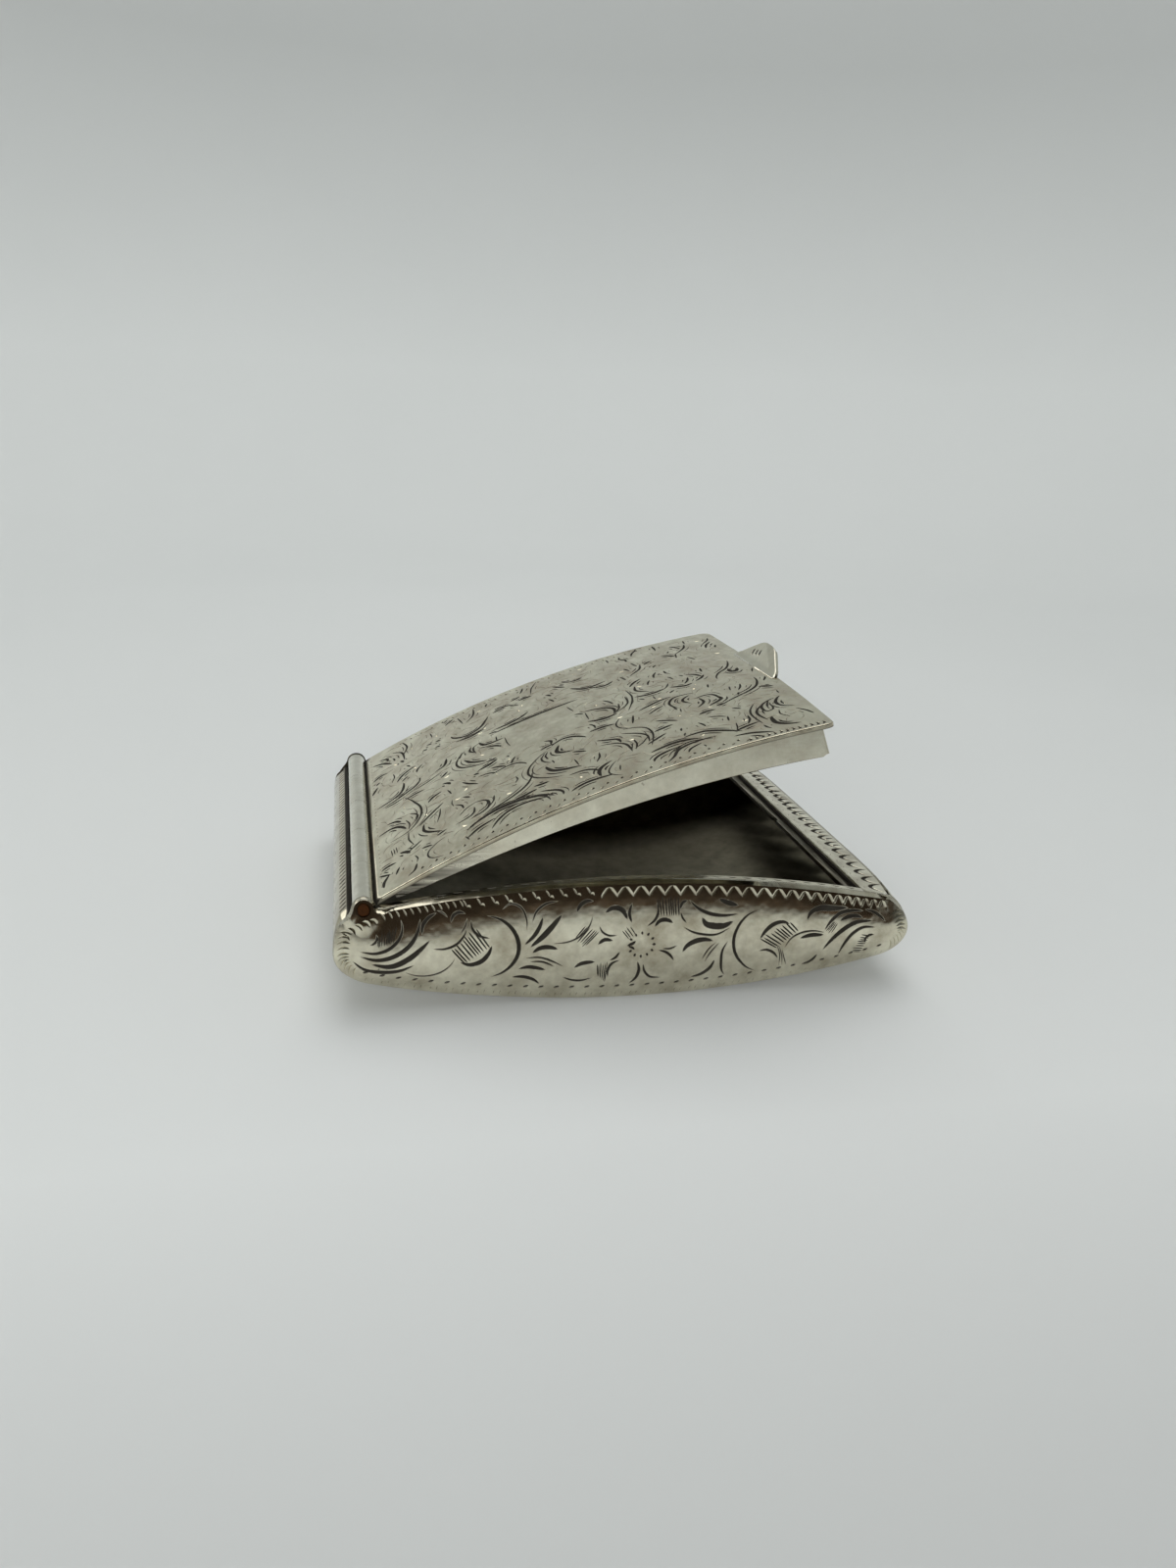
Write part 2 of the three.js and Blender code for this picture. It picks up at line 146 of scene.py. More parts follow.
def cut_depth(cuts, uv):
    """How deep each plan point lies, and on which wall of which cut; 0 is the uncut face."""
    depth, wall = np.zeros(len(uv)), np.zeros(len(uv), int)
    for number, cut in enumerate(cuts):
        near = np.flatnonzero(((uv >= cut.low) & (uv <= cut.high)).all(1))
        if not len(near):
            continue
        a, d = cut.line[:-1], np.diff(cut.line, axis=0)
        t = np.clip(((uv[near, None] - a) * d).sum(2) / (d * d).sum(1), 0, 1)
        off = uv[near, None] - a - t[..., None] * d
        gap = np.hypot(off[..., 0], off[..., 1])
        rows, seg = np.arange(len(near)), gap.argmin(1)
        t, off, gap = t[rows, seg], off[rows, seg], gap[rows, seg]
        on_left = d[seg, 0] * off[:, 1] - d[seg, 1] * off[:, 0] > 0

        def between(values):
            return values[seg] * (1 - t) + values[seg + 1] * t

        width = np.maximum(np.where(on_left, between(cut.left), between(cut.right)), 1e-6)
        here = between(cut.depth) * (1 - gap / width)
        deeper = here > np.maximum(depth[near], 1e-3)
        depth[near[deeper]] = here[deeper]
        wall[near[deeper]] = 1 + 2 * number + on_left[deeper]
    return depth, wall


def inside(loop, points):
    """Which points lie inside a closed loop."""
    odd = np.zeros(len(points), bool)
    for a, b in zip(loop, np.roll(loop, -1, axis=0)):
        spans = (a[1] > points[:, 1]) != (b[1] > points[:, 1])
        rise = b[1] - a[1] if b[1] != a[1] else 1e-12
        odd ^= spans & (points[:, 0] < a[0] + (points[:, 1] - a[1]) * (b[0] - a[0]) / rise)
    return odd


def edge_distance(loop, points):
    """Distance of each point from a closed loop, and the way out across the loop there."""
    best, out = np.full(len(points), 1e9), np.zeros((len(points), 2))
    for a, b in zip(loop, np.roll(loop, -1, axis=0)):
        d = b - a
        size = max(d @ d, 1e-12)
        t = np.clip(((points - a) @ d) / size, 0, 1)
        gap = np.hypot(*(points - a - t[:, None] * d).T)
        nearer = gap < best
        best[nearer] = gap[nearer]
        out[nearer] = np.array([d[1], -d[0]]) / math.sqrt(size)
    return best, out


def mesh_object(name, points, faces, material):
    mesh = bpy.data.meshes.new(name)
    mesh.from_pydata((np.asarray(points) * MM).tolist(), [], faces)
    for m in material if isinstance(material, (list, tuple)) else [material]:
        mesh.materials.append(m)
    piece = bpy.data.objects.new(name, mesh)
    bpy.context.scene.collection.objects.link(piece)
    return piece


RUB_DEPTH, RUB_LEAN = 0.3, 0.85


def face_slopes(lie, uv, step=0.01):
    """The two ways in which a face runs at each plan point."""
    return [(lie(uv + aside) - lie(uv - aside)) / (2 * step) for aside in ((step, 0), (0, step))]


def engraved_sheet(name, outline, cuts, lie, grain, materials, thickness=0.5, back=None, holes=(), edge=0.14,
                   shade_behind=1.0, crease_shade=None, filed=None):
    """A closed sheet whose face carries graver's cuts: outline is its plan, anticlockwise as seen from
    outside, and lie puts plan points on the face. The back lies a thickness below, or where back says;
    edge is how far in the edge is rubbed round, and filed how far and which way a filed one leans;
    shade_behind is how much painted shade darkens the edge walls towards the back and the back itself,
    and crease_shade where painted shade darkens the face beside the next piece."""
    outline = np.array(outline, float)
    edge = edge if callable(edge) else lambda uv, width=edge: np.full(len(uv), width)
    rubbed = edge(outline)[:, None]
    along = np.roll(outline, -1, axis=0) - np.roll(outline, 1, axis=0)
    inward = np.column_stack([-along[:, 1], along[:, 0]]) / np.hypot(*along.T)[:, None]
    points, edges = [], []

    def draw(row, closed=False):
        first = len(points)
        points.extend(map(Vector, row.tolist()))
        edges.extend((i, i + 1) for i in range(first, len(points) - 1))
        if closed:
            edges.append((len(points) - 1, first))

    turn = np.linspace(0, 2 * np.pi, 33)[:-1]
    rings = [np.column_stack([x + r * np.cos(turn), y + r * np.sin(turn)]) for x, y, r in holes]
    draw(outline, True)
    draw(outline + inward * rubbed, True)
    for ring in rings:
        draw(ring, True)
    for cut in cuts:
        for row in cut.rows:
            draw(row)
    low, high = outline.min(0), outline.max(0)
    rows = np.arange(low[1] + grain / 2, high[1], grain)
    fill = np.array([(x + (k % 2) * grain / 2, y) for k, y in enumerate(rows)
                     for x in np.arange(low[0] + grain / 2, high[0], grain)])
    points.extend(map(Vector, fill[inside(outline + inward * rubbed * 2, fill)].tolist()))

    def triangles(points, edges):
        found, _, tris, *_ = delaunay_2d_cdt(points, edges, [], 0, 1e-4, False)
        uv, tris = np.array([tuple(p) for p in found]), np.array(tris)
        middle = uv[tris].mean(1)
        keep = inside(outline, middle)
        for ring in rings:
            keep &= ~inside(ring, middle)
        return uv, tris[keep]

    uv, tris = triangles(points, edges)
    used, tris = np.unique(tris, return_inverse=True)
    uv, tris = uv[used], tris.reshape(-1, 3)
    depth, _ = cut_depth(cuts, uv)
    _, wall = cut_depth(cuts, uv[tris].mean(1))
    gap, out = edge_distance(outline, uv)
    rub = edge(uv)
    fall = np.clip(1 - gap / rub, 0, 1)
    du, dv = face_slopes(lie, uv)
    normal = np.cross(du, dv)
    normal /= np.linalg.norm(normal, axis=1)[:, None]
    outward = du * out[:, :1] + dv * out[:, 1:]
    outward /= np.linalg.norm(outward, axis=1)[:, None]
    face = lie(uv) - normal * (depth + np.minimum(rub, RUB_DEPTH) * (1 - np.sqrt(1 - fall ** 2)))[:, None]
    lean = np.arcsin(fall) * RUB_LEAN
    shown = normal * np.cos(lean)[:, None] + outward * np.sin(lean)[:, None]

    sides = np.vstack([tris[:, [0, 1]], tris[:, [1, 2]], tris[:, [2, 0]]])
    both = {tuple(s) for s in sides.tolist()}
    brink = np.array([s for s in sides.tolist() if (s[1], s[0]) not in both])
    rim, brink = np.unique(brink, return_inverse=True)
    brink = brink.reshape(-1, 2)
    coarse = fill[::7][inside(outline + inward * rubbed * 4, fill[::7])]
    under_uv, under = triangles([Vector(p) for p in np.vstack([uv[rim], coarse]).tolist()], brink.tolist())
    if back:
        flip = back(under_uv)
    else:
        down = np.cross(*face_slopes(lie, under_uv))
        flip = lie(under_uv) - thickness * down / np.linalg.norm(down, axis=1)[:, None]
    n = len(uv)
    faces = tris.tolist()
    quads = [(rim[b], rim[a], n + a, n + b) for a, b in brink.tolist()]
    faces += [tuple(int(i) for i in q) for q in quads]
    faces += [tuple(int(n + i) for i in t[::-1]) for t in under]
    piece = mesh_object(name, np.vstack([face, flip]), faces, materials)
    mesh = piece.data
    mesh.polygons.foreach_set("use_smooth", [True] * len(faces))
    if len(mesh.materials) > 1:
        mesh.polygons.foreach_set("material_index", [0] * (len(faces) - len(under)) + [1] * len(under))

    flat = np.cross(face[tris[:, 1]] - face[tris[:, 0]], face[tris[:, 2]] - face[tris[:, 0]])
    key = (tris * (2 * len(cuts) + 2) + wall[:, None]).ravel()
    groups, place = np.unique(key, return_inverse=True)
    summed = np.zeros((len(groups), 3))
    np.add.at(summed, place, np.repeat(flat, 3, axis=0))
    corner = summed[place] / np.maximum(np.linalg.norm(summed[place], axis=1), 1e-12)[:, None]
    uncut = np.repeat(wall == 0, 3)
    corner[uncut] = shown[tris.ravel()[uncut]]
    if filed:
        middle = uv[tris].mean(1)
        on_flat = np.repeat(edge_distance(outline, middle)[0] < edge(middle), 3) & uncut
        lean, way = filed(uv, out, fall)
        across = du * way[:, :1] + dv * way[:, 1:]
        across /= np.linalg.norm(across, axis=1)[:, None]
        flat_normal = normal * np.cos(lean)[:, None] + across * np.sin(lean)[:, None]
        corner[on_flat] = flat_normal[tris.ravel()[on_flat]]
    walls = np.array([[q[0], q[1], q[1], q[0]] for q in quads]).ravel()
    back_flat = np.cross(flip[under[:, 2]] - flip[under[:, 0]], flip[under[:, 1]] - flip[under[:, 0]])
    back_sum = np.zeros((len(flip), 3))
    np.add.at(back_sum, under.ravel(), np.repeat(back_flat, 3, axis=0))
    below = back_sum[under[:, ::-1].ravel()]
    below /= np.maximum(np.linalg.norm(below, axis=1), 1e-12)[:, None]
    mesh.normals_split_custom_set(np.vstack([corner, outward[walls], below]).tolist())
    soot, full = np.array([(0.0, 0.0)] + [(cut.soot, cut.full) for cut in cuts for _ in range(2)])[wall].T
    held = depth[tris] * (1 - full)[:, None] + (full * depth[tris].max(1))[:, None]
    # Painted shade: the face is darkened beside the next piece, the edge walls towards the back, and the back
    # itself, in the soot colour of the cuts.
    crease_shade_here = crease_shade(uv).clip(0, 1) if crease_shade else np.zeros(len(uv))
    dirt_and_shade = np.maximum(held * soot[:, None] / SOOTY_DEPTH, crease_shade_here[tris]).clip(0, 1)
    at_edge = [(crease_shade_here[q[0]], crease_shade_here[q[1]], shade_behind, shade_behind) for q in quads]
    marks = [dirt_and_shade.ravel(), np.ravel(at_edge), np.full(under.size, shade_behind)]
    # The cut mark holds the soot in the cuts and that painted shade as well.
    mesh.attributes.new("cut", "FLOAT", "CORNER").data.foreach_set("value", np.concatenate(marks))
    return piece


def add(tree, kind, inputs=None, **settings):
    """A shader or geometry node with its settings, and its inputs set to values or joined to sockets."""
    made = tree.nodes.new(kind)
    for key, value in settings.items():
        setattr(made, key, value)
    for key, value in (inputs or {}).items():
        if isinstance(value, bpy.types.NodeSocket):
            tree.links.new(value, made.inputs[key])
        else:
            made.inputs[key].default_value = value
    return made


def aged_silver_group():
    """Old silver: warm tarnish in soft patches, fine polishing lines and a hand-worked waviness."""
    tree = bpy.data.node_groups.new("aged silver", "ShaderNodeTree")
    face = tree.interface
    for name, kind, value in (("Clean", "NodeSocketColor", (0.7, 0.68, 0.6, 1)),
                              ("Tarnish", "NodeSocketColor", (0.4, 0.35, 0.25, 1)),
                              ("Patina", "NodeSocketFloat", 0.5), ("Sheen", "NodeSocketFloat", 0.25),
                              ("Wave", "NodeSocketFloat", 1.0), ("Stretch", "NodeSocketVector", (1, 1, 1))):
        face.new_socket(name, in_out="INPUT", socket_type=kind).default_value = value
    for name, kind in (("Color", "NodeSocketColor"), ("Roughness", "NodeSocketFloat"),
                       ("Height", "NodeSocketFloat")):
        face.new_socket(name, in_out="OUTPUT", socket_type=kind)
    given = add(tree, "NodeGroupInput").outputs
    lying = add(tree, "ShaderNodeTexCoord").outputs["Object"]
    place = add(tree, "ShaderNodeMapping", {"Vector": lying, "Scale": given["Stretch"]}).outputs[0]
    patch = add(tree, "ShaderNodeTexNoise", {"Vector": place, "Scale": 270, "Detail": 5, "Roughness": 0.6})
    speck = add(tree, "ShaderNodeTexNoise", {"Vector": place, "Scale": 900, "Detail": 3, "Roughness": 0.6})
    swell = add(tree, "ShaderNodeTexNoise", {"Vector": place, "Scale": 330, "Detail": 2, "Roughness": 0.5})
    drawn = add(tree, "ShaderNodeMapping", {"Vector": place, "Rotation": (0.3, 0.5, 0.4),
                                            "Scale": (260, 4200, 4200)})
    line = add(tree, "ShaderNodeTexNoise", {"Vector": drawn.outputs[0], "Scale": 1, "Detail": 2})
    spread = add(tree, "ShaderNodeMapRange", {"Value": patch.outputs["Fac"], "From Min": 0.36,
                                              "From Max": 0.7})
    share = add(tree, "ShaderNodeMath", {0: spread.outputs[0], 1: given["Patina"]}, operation="MULTIPLY")
    color = add(tree, "ShaderNodeMix", {"Factor": share.outputs[0], "A": given["Clean"],
                                        "B": given["Tarnish"]}, data_type="RGBA")
    dapple = add(tree, "ShaderNodeMapRange", {"Value": speck.outputs["Fac"], "To Min": 0.82, "To Max": 1.1})
    toned = add(tree, "ShaderNodeVectorMath", {0: color.outputs["Result"], 1: dapple.outputs[0]},
                operation="MULTIPLY")
    soft = add(tree, "ShaderNodeMath", {0: spread.outputs[0], 1: 0.07, 2: given["Sheen"]},
               operation="MULTIPLY_ADD")
    rough = add(tree, "ShaderNodeMath", {0: line.outputs["Fac"], 1: 0.05, 2: soft.outputs[0]},
                operation="MULTIPLY_ADD")
    waved = add(tree, "ShaderNodeMath", {0: swell.outputs["Fac"], 1: given["Wave"]}, operation="MULTIPLY")
    lined = add(tree, "ShaderNodeMath", {0: line.outputs["Fac"], 1: 0.02, 2: waved.outputs[0]},
                operation="MULTIPLY_ADD")
    add(tree, "NodeGroupOutput", {"Color": toned.outputs[0], "Roughness": rough.outputs[0],
                                  "Height": lined.outputs[0]})
    return tree


AGED_SILVER = aged_silver_group()
# The colour of soot in the cuts, also laid on as painted shade on sheet edges, backs and creases, and as a
# painted dark reflection on the skirts near the hinge.
SOOT_AND_SHADE = (0.012, 0.01, 0.008, 1)


def silver(name, clean, tarnish, patina, sheen, wave, bump=0.05, cut=False, dirt_and_shade=None, stretch=(1, 1, 1)):
    """A silver finish; where it is cut, matt old polish and soot lie in each cut, and painted shade where
    the sheet's cut mark carries it; or dirt and painted shade lie where dirt_and_shade says.
    """
    material = bpy.data.materials.new(name)
    material.use_nodes = True
    tree = material.node_tree
    shader = tree.nodes["Principled BSDF"]
    shader.inputs["Metallic"].default_value = 1
    aged = add(tree, "ShaderNodeGroup", node_tree=AGED_SILVER)
    for key, value in (("Clean", clean), ("Tarnish", tarnish), ("Patina", patina), ("Sheen", sheen),
                       ("Wave", wave), ("Stretch", stretch)):
        aged.inputs[key].default_value = value
    color, rough = aged.outputs["Color"], aged.outputs["Roughness"]
    # The mark and the mask put that colour on: soot in the cuts, painted shade on sheet edges, backs and
    # creases, and a painted dark reflection on the skirts.
    soot = dirt_and_shade(tree) if dirt_and_shade else None
    if cut:
        deep = add(tree, "ShaderNodeAttribute", attribute_name="cut")
        soot = add(tree, "ShaderNodeMapRange", {"Value": deep.outputs["Fac"], "From Min": 0.08,
                                                "From Max": 0.4, "To Max": 0.97}).outputs[0]
    if soot:
        color = add(tree, "ShaderNodeMix", {"Factor": soot, "A": color, "B": SOOT_AND_SHADE},
                    data_type="RGBA").outputs["Result"]
        rough = add(tree, "ShaderNodeMix", {"Factor": soot, "A": rough, "B": 0.7}).outputs["Result"]
        bare = add(tree, "ShaderNodeMath", {0: 1, 1: soot}, operation="SUBTRACT")
        tree.links.new(bare.outputs[0], shader.inputs["Metallic"])
        shader.inputs["Specular IOR Level"].default_value = 0.1
    tree.links.new(color, shader.inputs["Base Color"])
    tree.links.new(rough, shader.inputs["Roughness"])
    worked = add(tree, "ShaderNodeBump", {"Height": aged.outputs["Height"], "Strength": 1,
                                          "Distance": bump * MM})
    tree.links.new(worked.outputs[0], shader.inputs["Normal"])
    return material


ENGRAVED = silver("engraved silver", (0.8, 0.765, 0.615, 1), (0.34, 0.29, 0.2, 1), 0.75, 0.085, 1, 0.09, True)
# Darker silver for the backs and insides: tarnish, with painted shade for the dark inside the case and in the
# groove under the barrel.
DARK_INSIDE = silver("tarnish and painted shade inside", (0.25, 0.23, 0.165, 1), (0.11, 0.098, 0.066, 1), 0.8, 0.36, 0.4)


def swollen(points):
    """The upper catch end swells out between the panels, like a cushion."""
    x, y, z = points.T
    along = np.clip((x - MOUTH_END) / (RIM_BRINK - MOUTH_END), 0, 1)
    up = np.clip((z - CATCH_NOSE_Z) / (float(top_z(CATCH_SHOULDER)) - CATCH_NOSE_Z), 0, 1)
    out = CATCH_SWELL * (1 - np.abs(y / PANEL_BACK) ** 6) * along * up ** 2
    return points + np.column_stack([out, 0 * y, 0 * z])


def on_wrap(uv):
    s = np.clip(uv[:, 0], 0, GIRTH)
    return swollen(np.column_stack([np.interp(s, girth_length, girth[:, 0]), -uv[:, 1],
                                    np.interp(s, girth_length, girth[:, 1])]))


def wrap_back(uv):
    step = 0.4
    here, ahead, behind = on_wrap(uv), on_wrap(uv + (step, 0)), on_wrap(uv - (step, 0))
    run = ahead - behind
    run /= np.linalg.norm(run, axis=1)[:, None]
    return here + WRAP_SHEET * np.column_stack([-run[:, 2], np.zeros(len(uv)), run[:, 0]])


wrap_cuts = []
for y in np.arange(-29.9, 30.0, 1.35):
    wrap_cuts.append(Cut(0.6, (0.5, y), (1.9, y + 0.5), lean=0.5, blunt=0.4, soot=1.2))
curl = GIRTH - 0.35
for y in np.arange(-31.5, 31.6, 3.0):
    wrap_cuts.append(Cut(0.42, (curl, y - 0.9), (curl - 1.3, y - 0.7), (curl - 2.1, y + 0.1),
                         (curl - 1.6, y + 0.8)))
wrap_plan = [(s, -PANEL_BACK) for s in girth_length] + [(s, PANEL_BACK) for s in girth_length[::-1]]
WRAP_SILVER = silver("belly silver", (0.55, 0.52, 0.4, 1), (0.26, 0.21, 0.15, 1), 0.6, 0.06, 1, 0.1, True)


def wrap_edge(uv):
    """The wrap's edges are rubbed round, and its corners beside the hinge are filed down to the panels."""
    return 0.3 + 2.2 * np.exp(-((uv[:, 0] - 1.4) / 1.5) ** 2) * (np.abs(uv[:, 1]) > PANEL_BACK - 2.8)


def wrap_corner(uv, out, fall):
    """How far and which way the edge leans: those filed corners sideways, the rest as it is rubbed."""
    filed = wrap_edge(uv) > 0.6
    lean = np.where(filed, 0.34, np.arcsin(fall) * RUB_LEAN)
    return lean, np.where(filed[:, None], np.column_stack([0 * fall, np.sign(uv[:, 1])]), out)


# Its face is darkened at the hinge end, beside the groove under the barrel: painted shade.
wrap = engraved_sheet("silver_base_wrap", wrap_plan, wrap_cuts, on_wrap, WRAP_GRAIN,
                      [WRAP_SILVER, DARK_INSIDE], back=wrap_back, edge=wrap_edge,
                      crease_shade=lambda uv: 1 - uv[:, 0] / 0.7, filed=wrap_corner)
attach(wrap, "case_body")
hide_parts("base_wrap")

# Side panels: lens-shaped silver plates, pillowed outwards, each with an ear raised round the hinge
# pin. Scrolls, a six-petalled flower and leaf sprays are bright-cut into them by hand between a
# zigzag border and a row of pricked dots.
PANEL_MIDDLE = 8.75
PANEL_BULGE = 1.55
PANEL_FULLNESS = 2.2
END_FALL = 0.4
PANEL_GRAIN, PANEL_THINNEST = 1.1, 0.45
HINGE_X, HINGE_Z = -37.8, 15.3
EAR_RADIUS, EAR_PROUD, EAR_LEAN, EAR_FOOT, BORE = 1.65, 0.25, 0.3, 14.3, 0.92

upper_nose_hinge, upper_nose_catch = hinge_nose[NOSE_STEPS:], catch_nose[NOSE_STEPS:]
crown_x = np.linspace(-HINGE_SHOULDER, CATCH_SHOULDER, 81)
upper_x = np.concatenate([upper_nose_hinge[:-1, 0], crown_x, upper_nose_catch[-2::-1, 0]])
upper_z = np.concatenate([upper_nose_hinge[:-1, 1], top_z(crown_x), upper_nose_catch[-2::-1, 1]])
lower_x = np.concatenate([hinge_nose[NOSE_STEPS::-1, 0], belly_x, catch_nose[:NOSE_STEPS + 1, 0]])
lower_z = np.concatenate([hinge_nose[NOSE_STEPS::-1, 1], belly[:, 1], catch_nose[:NOSE_STEPS + 1, 1]])


def panel_swell(x, z):
    """How far the pillowed face stands out from the panel's edge; near the hinge its ridge runs lower."""
    slim = HEIGHT / LENGTH
    hinge_end = np.clip((-x - 20) / 13, 0, 1) * np.clip((x + 41.5) / 3.5, 0, 1)
    ridge = PANEL_MIDDLE - 1.6 * hinge_end
    near, far = np.zeros(len(x)), np.full(len(x), 1.2)
    for _ in range(26):
        reach = (near + far) / 2
        wide = x / (1 - (1 - reach) * slim)
        half = np.where(z > ridge, np.interp(wide, upper_x, upper_z) - ridge,
                        ridge - np.interp(wide, lower_x, lower_z))
        half = np.where(np.abs(wide) < LENGTH / 2, np.maximum(half, 0), 0)
        short = half * reach < np.abs(z - ridge)
        near, far = np.where(short, reach, near), np.where(short, far, reach)
    ends = np.clip(np.where(x < 0, (-x - 38.6) / 2.4, (x - 29) / 9), 0, 1) ** 2
    tilt = 0.05 * hinge_end * (z - PANEL_MIDDLE)
    return PANEL_BULGE * (1 - np.minimum(near, 1) ** PANEL_FULLNESS) - tilt - ends * END_FALL * (
        1 - np.exp(-(np.maximum(z - PANEL_MIDDLE, 0) / 2.5) ** 2))


def on_front_panel(uv):
    x, z = uv[:, 0], uv[:, 1]
    ear = np.clip((3.4 - np.hypot(x - HINGE_X, z - HINGE_Z)) / 1.6, 0, 1)
    ear_face = EAR_PROUD - EAR_LEAN * (z - EAR_FOOT)
    swell = panel_swell(x, z)
    out = HALF_EDGE + swell + (np.maximum(ear_face, swell - 0.3) - swell) * ear * ear * (3 - 2 * ear)
    return np.column_stack([x, -out, z])


def on_back_panel(uv):
    return on_front_panel(uv * (-1, 1)) * (1, -1, 1)


ear_turn = np.linspace(0.12 * np.pi, 0.88 * np.pi, 18)
ear_top = np.column_stack([HINGE_X + EAR_RADIUS * np.cos(ear_turn), HINGE_Z + EAR_RADIUS * np.sin(ear_turn)])
ear_right = smooth_line([(-34.4, float(top_z(-34.4))), (-35.3, 15.12), (-35.9, 15.15), tuple(ear_top[0])], 8)
ear_left = smooth_line([tuple(ear_top[-1]), (-39.65, 14.95), (-40.3, 14.1), (-41.0, 13.2)], 8)
crown_right = np.linspace(CATCH_SHOULDER, -34.4, 70)
hinge_side = [p for p in hinge_nose[::-1] if p[1] < 13.1]
panel_plan = np.vstack([hinge_side, belly, catch_nose, np.column_stack([crown_right, top_z(crown_right)])[1:],
                        ear_right[1:], ear_top[1:], ear_left[1:]])


def hatch(count, start_a, start_b, end_a, end_b, width):
    """Ruled shading: fine cuts by hand from points along one edge to points along the other."""
    a, b, c, d = (np.array(p, float) for p in (start_a, start_b, end_a, end_b))
    for k in range(count):
        t = np.clip((k + 0.2 * math.sin(5.1 * k)) / (count - 1), 0, 1)
        start, end = a + (b - a) * t, c + (d - c) * t
        late = (end - start) * 0.08 * math.sin(2.3 * k)
        yield Cut(width, start + late, end, lean=0.5, blunt=0.3, soot=3, full=0.4)


def cuts_of(rows):
    """The main cuts, from rows of a width and points, each with old polish in it."""
    return [Cut(row[0] * 1.05, *row[1:], lean=0.5, blunt=0.5, soot=0.9, full=0.2) for row in rows]


